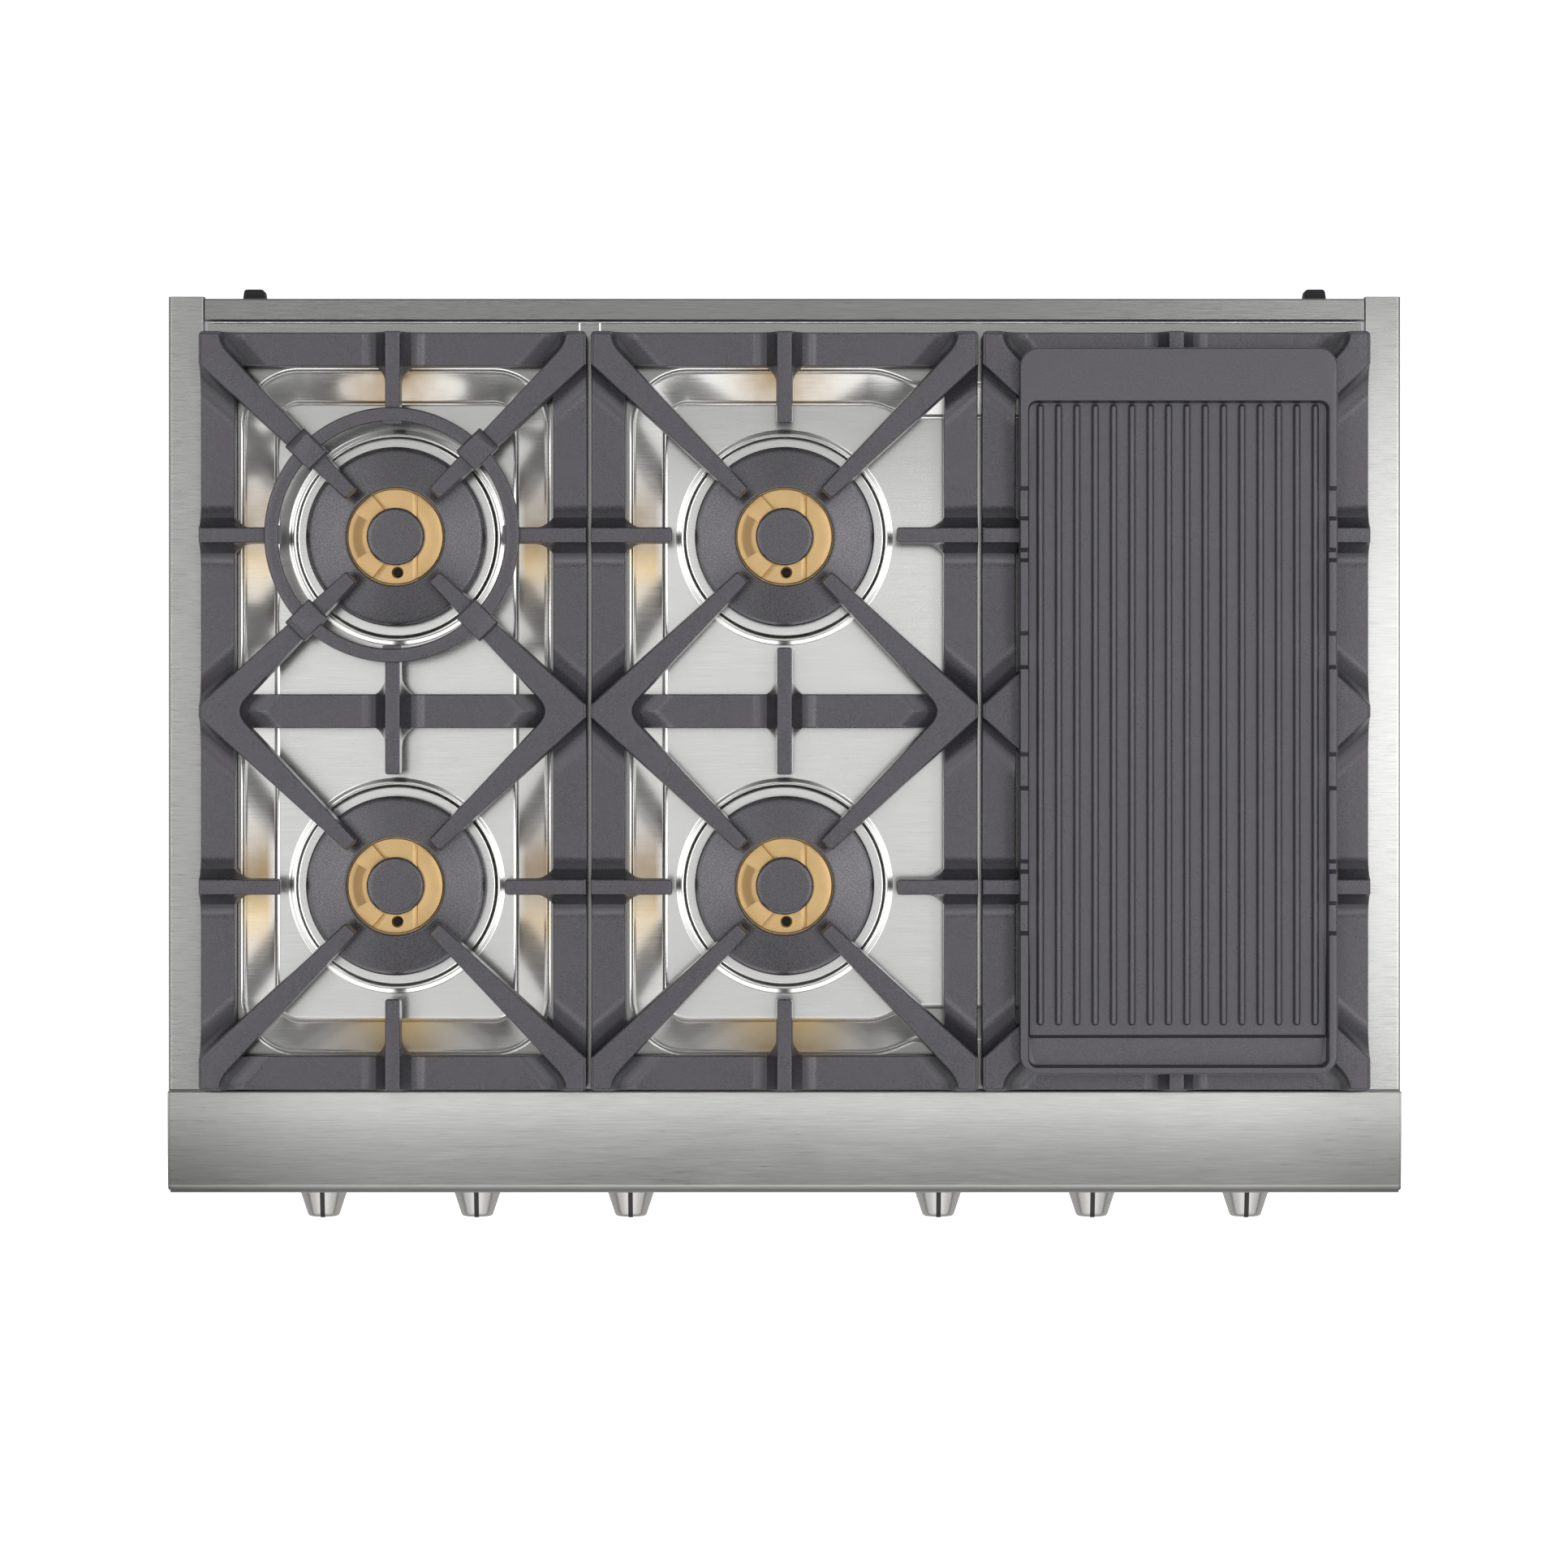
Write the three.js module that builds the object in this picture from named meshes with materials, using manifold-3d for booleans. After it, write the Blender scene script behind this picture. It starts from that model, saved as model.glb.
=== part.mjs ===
// A 36-inch professional gas rangetop: six burners under three cast-iron grates, a ribbed griddle plate
// on the right grate, a wok ring on the left rear burner, and six knobs under a stainless bullnose.
// Millimetres. X runs left to right, Y from the knobs to the back and Z up. The origin is the middle of
// the footprint, on the underside of the burner box.
import * as THREE from "three";
import { mergeVertices } from "three/addons/utils/BufferGeometryUtils.js";
import Module from "manifold-3d";

// ---------------------------------------------------------------- driving dimensions
const GAP = 0.3; // clearance between pieces that touch
const SHEET = 2; // stainless and galvanised sheet
const PAN_SHEET = 1.5;

const WIDTH = 911; // over the side rails
const DEPTH = 661; // front of the bullnose to the rear ends of the rails
const RAIL_TOP = 176; // top of the rails above the underside
const RAIL_WIDTH = 26.5;

const BULLNOSE_WIDTH = 912.4;
const BULLNOSE_DEPTH = 73.2;
const BULLNOSE_HEIGHT = 28;
const BULLNOSE_RADIUS = 11;
const PANEL_SETBACK = 12.5; // control panel behind the front of the bullnose

const REAR_TRIM_FRONT = 312.4;
const REAR_TRIM_BACK = 328.9;

const PAN_TOP = RAIL_TOP - 2; // top of the pan flanges
const PAN_FLOOR = RAIL_TOP - 14;
const PAN_EDGE_X = 426.5;
const PAN_FRONT = -256.7;
const PAN_BACK = 311.2;
const PAN_WALL_RUN = 21.5; // the walls slope outwards by this much
const JOINT_STRIP_X = -144;
const JOINT_STRIP_WIDTH = 14.4;

const COLUMN_PITCH = 287.4;
const GRATE_Y = 23.9; // middle of the grates
const BURNER_Y = 129; // each burner from the middle of its grate
const GRATE_WIDTH = 284.1;
const GRATE_DEPTH = 557.1;
const BAR_WIDTH = 24.8;
const BAR_BOTTOM = RAIL_TOP + 3;
const BAR_TOP = RAIL_TOP + 22;
const FINGER_TOP = RAIL_TOP + 40;
const FINGER_DEPTH = 15;
const FINGER_WIDTH = 10.7;
const STRAIGHT_TIP = 82.4; // finger tips from the middle of the burner
const DIAGONAL_TIP = 43.5;

const KNOB_X = [-345, -230, -115, 115, 230, 345];
const KNOB_Z = RAIL_TOP - 60;
const KNOB_FRONT = -353.8;
const KNOB_PUSH = 3; // travel of a knob before its valve can turn

const RIM_X = WIDTH / 2; // outer faces of the rails
const FRONT = -DEPTH / 2;
const BACK = DEPTH / 2;
const PANEL_FRONT = FRONT + PANEL_SETBACK;
const BULLNOSE_BACK = FRONT + BULLNOSE_DEPTH;
const BOX_X = RIM_X - SHEET - GAP; // outer faces of the burner box
const BOX_FRONT = PANEL_FRONT + SHEET + GAP;
const BOX_BACK = REAR_TRIM_BACK - SHEET - GAP;
const LEDGE_TOP = PAN_TOP - PAN_SHEET - GAP; // the pans rest here
const COLUMNS = { left: -COLUMN_PITCH, centre: 0, right: COLUMN_PITCH };
const ROWS = { rear: GRATE_Y + BURNER_Y, front: GRATE_Y - BURNER_Y };

// ---------------------------------------------------------------- materials
function material(color, roughness, metalness) {
  return new THREE.MeshStandardMaterial({ color, roughness, metalness });
}

const brushedSteel = material(0xb4b4b0, 0.32, 1);
const pressedSteel = material(0xc9c8c4, 0.2, 1);
const galvanised = material(0x9a9c9e, 0.5, 0.9);
const castIron = material(0x4c4b50, 0.55, 0.3);
const enamel = material(0x45444a, 0.4, 0.2);
const brass = material(0xc49a55, 0.35, 1);
const aluminium = material(0xa9abad, 0.45, 1);
const rubber = material(0x151515, 0.8, 0);
const ceramic = material(0x3a3733, 0.5, 0);
const plastic = material(0x26282b, 0.6, 0);

// ---------------------------------------------------------------- solids
const wasm = await Module();
wasm.setup();

// A closed three.js geometry as a solid, faces turned outwards.
function solid(geometry) {
  const bare = geometry.clone();
  bare.deleteAttribute("normal");
  bare.deleteAttribute("uv");
  const merged = mergeVertices(bare, 1e-3);
  const index = merged.index.array;
  const kept = [];
  for (let i = 0; i < index.length; i += 3) {
    const [a, b, c] = [index[i], index[i + 1], index[i + 2]];
    if (a !== b && b !== c && c !== a) kept.push(a, b, c);
  }
  const vertProperties = merged.attributes.position.array;
  const build = (triangles) =>
    new wasm.Manifold(new wasm.Mesh({ numProp: 3, vertProperties, triVerts: new Uint32Array(triangles) }));
  const made = build(kept);
  return made.volume() < 0 ? build(kept.reverse()) : made;
}

function joined(solids) {
  return solids.reduce((sum, next) => sum.add(next));
}

function between(a, b) {
  return [Math.min(a, b), Math.max(a, b)];
}

function cutBy(body, tools) {
  return tools.reduce((left, tool) => left.subtract(tool), body);
}

function box(x, y, z) {
  const geometry = new THREE.BoxGeometry(x[1] - x[0], y[1] - y[0], z[1] - z[0]);
  return solid(geometry.translate((x[0] + x[1]) / 2, (y[0] + y[1]) / 2, (z[0] + z[1]) / 2));
}

function shapeOf(points) {
  return new THREE.Shape(points.map(([x, y]) => new THREE.Vector2(x, y)));
}

// An outline in plan, extruded between two heights.
function slab(outline, bottom, top) {
  const shape = outline instanceof THREE.Shape ? outline : shapeOf(outline);
  const settings = { depth: top - bottom, bevelEnabled: false, curveSegments: 4 };
  const geometry = new THREE.ExtrudeGeometry(shape, settings);
  return solid(geometry.translate(0, 0, bottom));
}

// An outline of [y, z] points, extruded from x[0] to x[1].
function sideways(outline, x) {
  const geometry = new THREE.ExtrudeGeometry(shapeOf(outline), { depth: x[1] - x[0], bevelEnabled: false });
  geometry.rotateY(Math.PI / 2).rotateX(Math.PI / 2);
  return solid(geometry.translate(x[0], 0, 0));
}

// A profile of [radius, height] points, closed unless it starts and ends on the axis.
function lathePoints(profile) {
  const points = profile.map(([radius, height]) => new THREE.Vector2(radius, height));
  if (points[0].x > 0) points.push(points[0].clone());
  return points;
}

// A profile turned about a vertical axis at (x, y).
function turned(profile, segments, x = 0, y = 0) {
  const geometry = new THREE.LatheGeometry(lathePoints(profile), segments).rotateX(Math.PI / 2);
  return solid(geometry.translate(x, y, 0));
}

// A profile turned about an axis that runs forwards (towards -Y) at (x, z); heights count from y = 0.
function turnedForwards(profile, segments, x, z) {
  const geometry = new THREE.LatheGeometry(lathePoints(profile), segments).rotateX(Math.PI);
  return solid(geometry.translate(x, 0, z));
}

function upright(radius, x, y, bottom, top, segments = 12) {
  return turned([[0, bottom], [radius, bottom], [radius, top], [0, top]], segments, x, y);
}

// A pipe along a chain of points.
function pipe(points, radius, steps, segments = 8) {
  const circle = new THREE.Shape();
  circle.absarc(0, 0, radius, 0, 2 * Math.PI);
  const stations = points.map((p) => new THREE.Vector3(...p));
  const path = new THREE.CatmullRomCurve3(stations, false, "centripetal");
  return solid(new THREE.ExtrudeGeometry(circle, { steps, extrudePath: path, curveSegments: segments }));
}

function roundedRectangle(x, y, radius) {
  const shape = new THREE.Shape();
  shape.moveTo(x[0] + radius, y[0]);
  shape.lineTo(x[1] - radius, y[0]);
  shape.absarc(x[1] - radius, y[0] + radius, radius, -Math.PI / 2, 0);
  shape.lineTo(x[1], y[1] - radius);
  shape.absarc(x[1] - radius, y[1] - radius, radius, 0, Math.PI / 2);
  shape.lineTo(x[0] + radius, y[1]);
  shape.absarc(x[0] + radius, y[1] - radius, radius, Math.PI / 2, Math.PI);
  shape.lineTo(x[0], y[0] + radius);
  shape.absarc(x[0] + radius, y[0] + radius, radius, Math.PI, 1.5 * Math.PI);
  return shape;
}

// A few points on the curve from one point to another, pulled towards a third.
function bend(from, pull, to, steps) {
  const [a, b, c] = [from, pull, to].map(([x, y]) => new THREE.Vector2(x, y));
  return new THREE.QuadraticBezierCurve(a, b, c).getPoints(steps).map((p) => [p.x, p.y]);
}

// ---------------------------------------------------------------- assembly
const rangetop = new THREE.Group();
rangetop.name = "rangetop";

function addPart(name, body, look) {
  const { vertProperties, triVerts } = body.getMesh();
  const geometry = new THREE.BufferGeometry();
  geometry.setAttribute("position", new THREE.BufferAttribute(vertProperties, 3));
  geometry.setIndex(new THREE.BufferAttribute(triVerts, 1));
  geometry.computeVertexNormals();
  const mesh = new THREE.Mesh(geometry, look);
  mesh.name = name;
  rangetop.add(mesh);
}

// ---------------------------------------------------------------- pans
const LEFT_BASIN = { x: [COLUMNS.left - 90, COLUMNS.left + 90], y: [-206.3, 253.5] };
const RIGHT_BASIN = { x: [-90, COLUMNS.right + 90], y: LEFT_BASIN.y };
const FLOOR_CORNER = 18;
const WAIST_INSET = 10;
const WAIST_START = 62; // from the middle of a column to where the floor narrows
const WAIST_END = 98;

// The floor of the right basin is narrower between its two columns of burners.
function waistedFloor() {
  const { x, y } = RIGHT_BASIN;
  const shape = new THREE.Shape();
  const far = COLUMN_PITCH;
  const middle = (WAIST_START + WAIST_END) / 2;
  shape.moveTo(x[0] + FLOOR_CORNER, y[0]);
  shape.lineTo(WAIST_START, y[0]);
  const waistBottom = y[0] + WAIST_INSET;
  shape.bezierCurveTo(middle, y[0], middle, waistBottom, WAIST_END, waistBottom);
  shape.lineTo(far - WAIST_END, waistBottom);
  shape.bezierCurveTo(far - middle, waistBottom, far - middle, y[0], far - WAIST_START, y[0]);
  shape.lineTo(x[1] - FLOOR_CORNER, y[0]);
  shape.absarc(x[1] - FLOOR_CORNER, y[0] + FLOOR_CORNER, FLOOR_CORNER, -Math.PI / 2, 0);
  shape.lineTo(x[1], y[1] - FLOOR_CORNER);
  shape.absarc(x[1] - FLOOR_CORNER, y[1] - FLOOR_CORNER, FLOOR_CORNER, 0, Math.PI / 2);
  shape.lineTo(far - WAIST_START, y[1]);
  const waistTop = y[1] - WAIST_INSET;
  shape.bezierCurveTo(far - middle, y[1], far - middle, waistTop, far - WAIST_END, waistTop);
  shape.lineTo(WAIST_END, waistTop);
  shape.bezierCurveTo(middle, waistTop, middle, y[1], WAIST_START, y[1]);
  shape.lineTo(x[0] + FLOOR_CORNER, y[1]);
  shape.absarc(x[0] + FLOOR_CORNER, y[1] - FLOOR_CORNER, FLOOR_CORNER, Math.PI / 2, Math.PI);
  shape.lineTo(x[0], y[0] + FLOOR_CORNER);
  shape.absarc(x[0] + FLOOR_CORNER, y[0] + FLOOR_CORNER, FLOOR_CORNER, Math.PI, 1.5 * Math.PI);
  return shape;
}

// The hollow of a basin: the floor outline, spreading outwards on its way up to the flange.
function hollow(floor, drop) {
  const settings = {
    depth: 8,
    curveSegments: 4,
    bevelSegments: 1,
    bevelSize: PAN_WALL_RUN,
    bevelThickness: PAN_TOP - PAN_FLOOR,
  };
  const geometry = new THREE.ExtrudeGeometry(floor, settings);
  return solid(geometry.translate(0, 0, PAN_TOP - drop));
}

const BURNER_HOLE = 52;
const BEAD_IN = 72.8;
const BEAD_OUT = 79.6;
const BEAD_HEIGHT = 3;

function pan(x, floor, columns) {
  const y = [PAN_FRONT, PAN_BACK];
  const flange = box(x, y, [PAN_TOP - PAN_SHEET, PAN_TOP]);
  const belowTop = box(x, y, [PAN_FLOOR - 2 * PAN_SHEET, PAN_TOP]);
  const shell = flange.add(hollow(floor, PAN_SHEET).intersect(belowTop)).subtract(hollow(floor, 0));
  const burners = columns.flatMap((column) => Object.values(ROWS).map((row) => [column, row]));
  const bead = [
    [BEAD_IN, PAN_FLOOR - PAN_SHEET / 2],
    [BEAD_IN + 2, PAN_FLOOR + BEAD_HEIGHT],
    [BEAD_OUT - 2, PAN_FLOOR + BEAD_HEIGHT],
    [BEAD_OUT, PAN_FLOOR - PAN_SHEET / 2],
  ];
  const beads = burners.map(([bx, by]) => turned(bead, 22, bx, by));
  const holes = burners.map(([bx, by]) => upright(BURNER_HOLE, bx, by, PAN_FLOOR - 5, PAN_FLOOR + 5, 20));
  return cutBy(joined([shell, ...beads]), holes);
}

const STRIP_X = [JOINT_STRIP_X - JOINT_STRIP_WIDTH / 2, JOINT_STRIP_X + JOINT_STRIP_WIDTH / 2];
const leftFloor = roundedRectangle(LEFT_BASIN.x, LEFT_BASIN.y, FLOOR_CORNER);
addPart("left_pan", pan([-PAN_EDGE_X, STRIP_X[0] - GAP], leftFloor, [COLUMNS.left]), pressedSteel);
const rightColumns = [COLUMNS.centre, COLUMNS.right];
addPart("right_pan", pan([STRIP_X[1] + GAP, PAN_EDGE_X], waistedFloor(), rightColumns), pressedSteel);

// ---------------------------------------------------------------- burner box
const INLET = { x: 395, z: 60, radius: 10.6 }; // half-inch pipe thread
const OPENING_MARGIN = 26; // the ledge stops this far outside the basin floors
const WINDOW = { x: 430, z: [14, 164] }; // service opening behind the control panel
const LOUVRE = { width: 80, height: 5, pitch: 110, count: 5, z: 96 };

function burnerBox() {
  const tub = box([-BOX_X, BOX_X], [BOX_FRONT, BOX_BACK], [0, LEDGE_TOP]);
  const inside = [BOX_X - SHEET, BOX_FRONT + SHEET, BOX_BACK - SHEET];
  const room = box([-inside[0], inside[0]], [inside[1], inside[2]], [SHEET, LEDGE_TOP - SHEET]);
  const openings = [LEFT_BASIN, RIGHT_BASIN].map(({ x, y }) =>
    box(
      [x[0] - OPENING_MARGIN, x[1] + OPENING_MARGIN],
      [y[0] - OPENING_MARGIN, y[1] + OPENING_MARGIN],
      [LEDGE_TOP - 2 * SHEET, LEDGE_TOP + 1],
    ),
  );
  const window = box([-WINDOW.x, WINDOW.x], [BOX_FRONT - 1, BOX_FRONT + SHEET + 1], WINDOW.z);
  const rearCut = [BOX_BACK - SHEET - 1, BOX_BACK + 1];
  const louvres = Array.from({ length: LOUVRE.count }, (_, i) => {
    const x = (i - (LOUVRE.count - 1) / 2) * LOUVRE.pitch;
    return box([x - LOUVRE.width / 2, x + LOUVRE.width / 2], rearCut, [LOUVRE.z, LOUVRE.z + LOUVRE.height]);
  });
  const hole = INLET.radius + 2;
  const inlet = box([INLET.x - hole, INLET.x + hole], rearCut, [INLET.z - hole, INLET.z + hole]);
  const strip = box(STRIP_X, [PAN_FRONT, PAN_BACK], [LEDGE_TOP - SHEET, PAN_TOP]);
  return cutBy(tub, [room, ...openings, window, ...louvres, inlet]).add(strip);
}
addPart("burner_box", burnerBox(), galvanised);

// ---------------------------------------------------------------- trim
const RAIL_SKIRT = 56; // height of the rails' outer faces
const LIP_BOTTOM = LEDGE_TOP + GAP;

function sideRail(side) {
  const y = [BULLNOSE_BACK + GAP, BACK];
  const across = (from, to) => (side > 0 ? [from, to] : [-to, -from]);
  const inner = RIM_X - RAIL_WIDTH;
  return joined([
    box(across(inner, RIM_X), y, [RAIL_TOP - SHEET, RAIL_TOP]),
    box(across(inner, inner + SHEET), y, [LIP_BOTTOM, RAIL_TOP]),
    box(across(RIM_X - SHEET, RIM_X), y, [RAIL_TOP - RAIL_SKIRT, RAIL_TOP]),
  ]);
}
addPart("left_side_rail", sideRail(-1), brushedSteel);
addPart("right_side_rail", sideRail(1), brushedSteel);

function rearTrim() {
  const half = RIM_X - RAIL_WIDTH - GAP;
  const x = [-half, half];
  return joined([
    box(x, [REAR_TRIM_FRONT, REAR_TRIM_BACK], [RAIL_TOP - SHEET, RAIL_TOP]),
    box(x, [REAR_TRIM_FRONT, REAR_TRIM_FRONT + SHEET], [LIP_BOTTOM, RAIL_TOP]),
    box(x, [REAR_TRIM_BACK - SHEET, REAR_TRIM_BACK], [RAIL_TOP - RAIL_SKIRT, RAIL_TOP]),
  ]);
}
addPart("rear_trim", rearTrim(), brushedSteel);

// Side view of the bullnose, drawn inwards from its outer face by an inset.
function bullnoseOutline(inset) {
  const [front, top, bottom] = [FRONT + inset, RAIL_TOP - inset, RAIL_TOP - BULLNOSE_HEIGHT + inset];
  const round = BULLNOSE_RADIUS - inset;
  const nose = bend([front, top - round], [front, top], [front + round, top], 4);
  const chin = bend([PANEL_FRONT - GAP, bottom], [front, bottom], [front, bottom + round], 3);
  return [...chin, ...nose, [BULLNOSE_BACK, top]];
}

function bullnose() {
  const half = BULLNOSE_WIDTH / 2;
  const underside = bullnoseOutline(SHEET).reverse();
  const skin = sideways([...bullnoseOutline(0), ...underside], [-half, half]);
  const lip = box([-half, half], [BULLNOSE_BACK - SHEET, BULLNOSE_BACK], [LIP_BOTTOM, RAIL_TOP - SHEET / 2]);
  const cheeks = [-1, 1].map((side) => {
    const x = [side * half, side * (half - SHEET)].sort((a, b) => a - b);
    return sideways([...bullnoseOutline(0), [BULLNOSE_BACK, RAIL_TOP - BULLNOSE_HEIGHT]], x);
  });
  return joined([skin, lip, ...cheeks]);
}
addPart("bullnose", bullnose(), brushedSteel);

const STEM_HOLE = 9;
const PANEL_TOP = RAIL_TOP - 8; // hidden inside the bullnose

function controlPanel() {
  const sheet = box([-BOX_X, BOX_X], [PANEL_FRONT, PANEL_FRONT + SHEET], [SHEET, PANEL_TOP]);
  const [behind, before] = [-PANEL_FRONT - 5, -PANEL_FRONT + 5];
  const hole = [[0, behind], [STEM_HOLE, behind], [STEM_HOLE, before], [0, before]];
  return cutBy(sheet, KNOB_X.map((x) => turnedForwards(hole, 12, x, KNOB_Z)));
}
addPart("control_panel", controlPanel(), brushedSteel);

const BUMPER = { x: 394.5, wide: 16.9, narrow: 14.5, reach: 8.9, height: 24, bottom: RAIL_TOP - 50 };

function rearBumper(side) {
  const x = side * BUMPER.x;
  const [root, tip] = [REAR_TRIM_BACK + GAP, REAR_TRIM_BACK + BUMPER.reach];
  const outline = [
    [x - BUMPER.wide / 2, root],
    [x + BUMPER.wide / 2, root],
    [x + BUMPER.narrow / 2, tip],
    [x - BUMPER.narrow / 2, tip],
  ];
  return slab(outline, BUMPER.bottom, BUMPER.bottom + BUMPER.height);
}
addPart("rear_bumper_left", rearBumper(-1), rubber);
addPart("rear_bumper_right", rearBumper(1), rubber);

// ---------------------------------------------------------------- burners
const IGNITER = { x: 1.4, y: -26.5, radius: 3.4, hole: 4.2 };
const above = (profile) => profile.map(([radius, height]) => [radius, PAN_FLOOR + height]);

// Heights in these profiles are above the pan floor.
const BASE_PROFILE = above([[12, -34], [34, -34], [49, -20], [49, GAP], [60, GAP], [60, 6], [12, 6]]);
const HEAD_PROFILE = above([[14, 6.3], [57, 6.3], [59, 13.7], [35.2, 13.7], [35.2, 17], [14, 17]]);
const OUTER_CAP_PROFILE = above([
  [36, 14],
  [64, 14],
  [66.4, 16],
  [65.8, 19.4],
  [63, 20.7],
  [37.2, 20.7],
]);
const INNER_CAP_PROFILE = above([[0, 17.3], [21.3, 17.3], [21.3, 20.2], [20, 21.3], [0, 21.3]]);
const IGNITER_PROFILE = above([
  [0, -40],
  [IGNITER.radius, -40],
  [IGNITER.radius, 14],
  [1.4, 15.6],
  [0, 15.6],
]);

function addBurner(name, x, y) {
  const [ix, iy] = [x + IGNITER.x, y + IGNITER.y];
  const hole = upright(IGNITER.hole, ix, iy, PAN_FLOOR - 60, PAN_FLOOR + 30, 10);
  addPart("burner_base_" + name, turned(BASE_PROFILE, 16, x, y).subtract(hole), aluminium);
  addPart("burner_head_" + name, turned(HEAD_PROFILE, 20, x, y).subtract(hole), brass);
  addPart("outer_cap_" + name, turned(OUTER_CAP_PROFILE, 24, x, y), enamel);
  addPart("inner_cap_" + name, turned(INNER_CAP_PROFILE, 18, x, y), enamel);
  addPart("igniter_" + name, turned(IGNITER_PROFILE, 8, ix, iy), ceramic);
}

for (const [column, x] of Object.entries(COLUMNS)) {
  for (const [row, y] of Object.entries(ROWS)) addBurner(column + "_" + row, x, y);
}

// ---------------------------------------------------------------- grates
const HALF_W = GRATE_WIDTH / 2;
const HALF_D = GRATE_DEPTH / 2;
const FINGER_BOTTOM = FINGER_TOP - FINGER_DEPTH;
const FINGER_SLOPE = 14; // the underside rises over this length from the bar to the finger
const ROOT_FILLET = 18; // the bars rise to the fingers along curves of this radius
const DIAGONAL_HALF = 5.15; // half the width of a diagonal finger at its tip
const INNER_SLOPE = Math.tan(THREE.MathUtils.degToRad(46.7)); // its edges spread apart towards the frame
const OUTER_SLOPE = Math.tan(THREE.MathUtils.degToRad(42.5));

// Plan of the finger over the corner of the burner, from its tip out to the corner pad of the grate.
function cornerFinger() {
  const tip = DIAGONAL_TIP * Math.SQRT1_2;
  const step = DIAGONAL_HALF * Math.SQRT1_2;
  const inner = [tip - step, BURNER_Y + tip + step];
  const outer = [tip + step, BURNER_Y + tip - step];
  const padX = HALF_W - 14.6;
  const innerY = (x) => inner[1] + (x - inner[0]) * INNER_SLOPE;
  const sideY = outer[1] + (HALF_W - outer[0]) * OUTER_SLOPE;
  const bent = bend([padX - 7, innerY(padX - 7)], [padX, innerY(padX)], [padX, HALF_D], 3);
  return [outer, [HALF_W, sideY], [HALF_W, HALF_D], ...bent.reverse(), inner];
}

// Plan of the two diagonal fingers that meet in a V at the middle of a side.
function middleFingers() {
  const tip = DIAGONAL_TIP * Math.SQRT1_2;
  const step = DIAGONAL_HALF * Math.SQRT1_2;
  const inner = [tip - step, BURNER_Y - tip - step];
  const outer = [tip + step, BURNER_Y - tip + step];
  const vertex = inner[0] + inner[1] / INNER_SLOPE;
  const turn = 9;
  const rise = turn * INNER_SLOPE;
  const bent = bend([vertex - turn, rise], [vertex, 0], [vertex - turn, -rise], 4);
  const sideY = 4.2;
  const flip = ([x, y]) => [x, -y];
  const side = [[HALF_W, sideY], [HALF_W, -sideY]];
  return [inner, outer, ...side, flip(outer), flip(inner), ...bent.reverse()];
}

// A straight finger seen from the side: s runs in from the outer edge of its bar to the tip.
function fingerSide(reach) {
  return [
    [0, BAR_BOTTOM],
    [BAR_WIDTH, BAR_BOTTOM],
    [BAR_WIDTH + FINGER_SLOPE, FINGER_BOTTOM],
    [reach - 4, FINGER_BOTTOM],
    [reach, FINGER_BOTTOM + 4],
    [reach, FINGER_TOP],
    [0, FINGER_TOP],
  ];
}

// The bar swelling up to a finger, seen across the bar: a hump with hollow sides.
function hump() {
  const half = FINGER_WIDTH / 2 - 0.5;
  const rise = ROOT_FILLET * 0.9;
  const side = bend([half + ROOT_FILLET, BAR_TOP], [half, BAR_TOP], [half, BAR_TOP + rise], 3);
  const other = side.map(([x, z]) => [-x, z]).reverse();
  return [[half + ROOT_FILLET, BAR_TOP - 2], ...side, ...other, [-half - ROOT_FILLET, BAR_TOP - 2]];
}

// Extrudes a side view that runs along Y across a width in X.
function fingerAlongY(outline, width) {
  return sideways(outline, [-width / 2, width / 2]);
}

// Turns an outline seen along Y (points x, z) into a solid from y[0] to y[1].
function lengthways(outline, y) {
  const geometry = new THREE.ExtrudeGeometry(shapeOf(outline), { depth: y[1] - y[0], bevelEnabled: false });
  return solid(geometry.rotateX(Math.PI / 2).translate(0, y[1], 0));
}

function grateOutline() {
  return roundedRectangle([-HALF_W, HALF_W], [-HALF_D, HALF_D], 3);
}

function grate() {
  const opening = box(
    [-HALF_W + BAR_WIDTH, HALF_W - BAR_WIDTH],
    [-HALF_D + BAR_WIDTH, HALF_D - BAR_WIDTH],
    [BAR_BOTTOM - 1, BAR_TOP + 1],
  );
  const frame = slab(grateOutline(), BAR_BOTTOM, BAR_TOP).subtract(opening);
  const crossX = HALF_W - BAR_WIDTH + 2;
  const cross = box([-crossX, crossX], [-BAR_WIDTH / 2, BAR_WIDTH / 2], [BAR_BOTTOM, BAR_TOP]);
  const pieces = [frame, cross];
  const mirrored = (outline, sx, sy) => outline.map(([x, y]) => [sx * x, sy * y]);
  for (const sx of [-1, 1]) {
    pieces.push(slab(mirrored(middleFingers(), sx, 1), FINGER_BOTTOM, FINGER_TOP));
    pieces.push(sideRoot(sx));
    for (const sy of [-1, 1]) {
      pieces.push(slab(mirrored(cornerFinger(), sx, sy), FINGER_BOTTOM, FINGER_TOP));
      pieces.push(cornerRoot(sx, sy));
      pieces.push(foot(sx, sy));
      pieces.push(sideFinger(sx, sy));
    }
  }
  for (const sy of [-1, 1]) pieces.push(endFinger(sy));
  pieces.push(middleFinger());
  return joined(pieces);
}

const CORNER_ROOT = { x: 12.5, y: 18 };

// Solid under a corner pad, down through the bars.
function cornerRoot(sx, sy) {
  const x = between(sx * (HALF_W - CORNER_ROOT.x), sx * HALF_W);
  const y = between(sy * (HALF_D - CORNER_ROOT.y), sy * HALF_D);
  const root = box(x, y, [BAR_BOTTOM, FINGER_TOP - 1]);
  return root.intersect(slab(grateOutline(), BAR_BOTTOM, FINGER_TOP));
}

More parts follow.
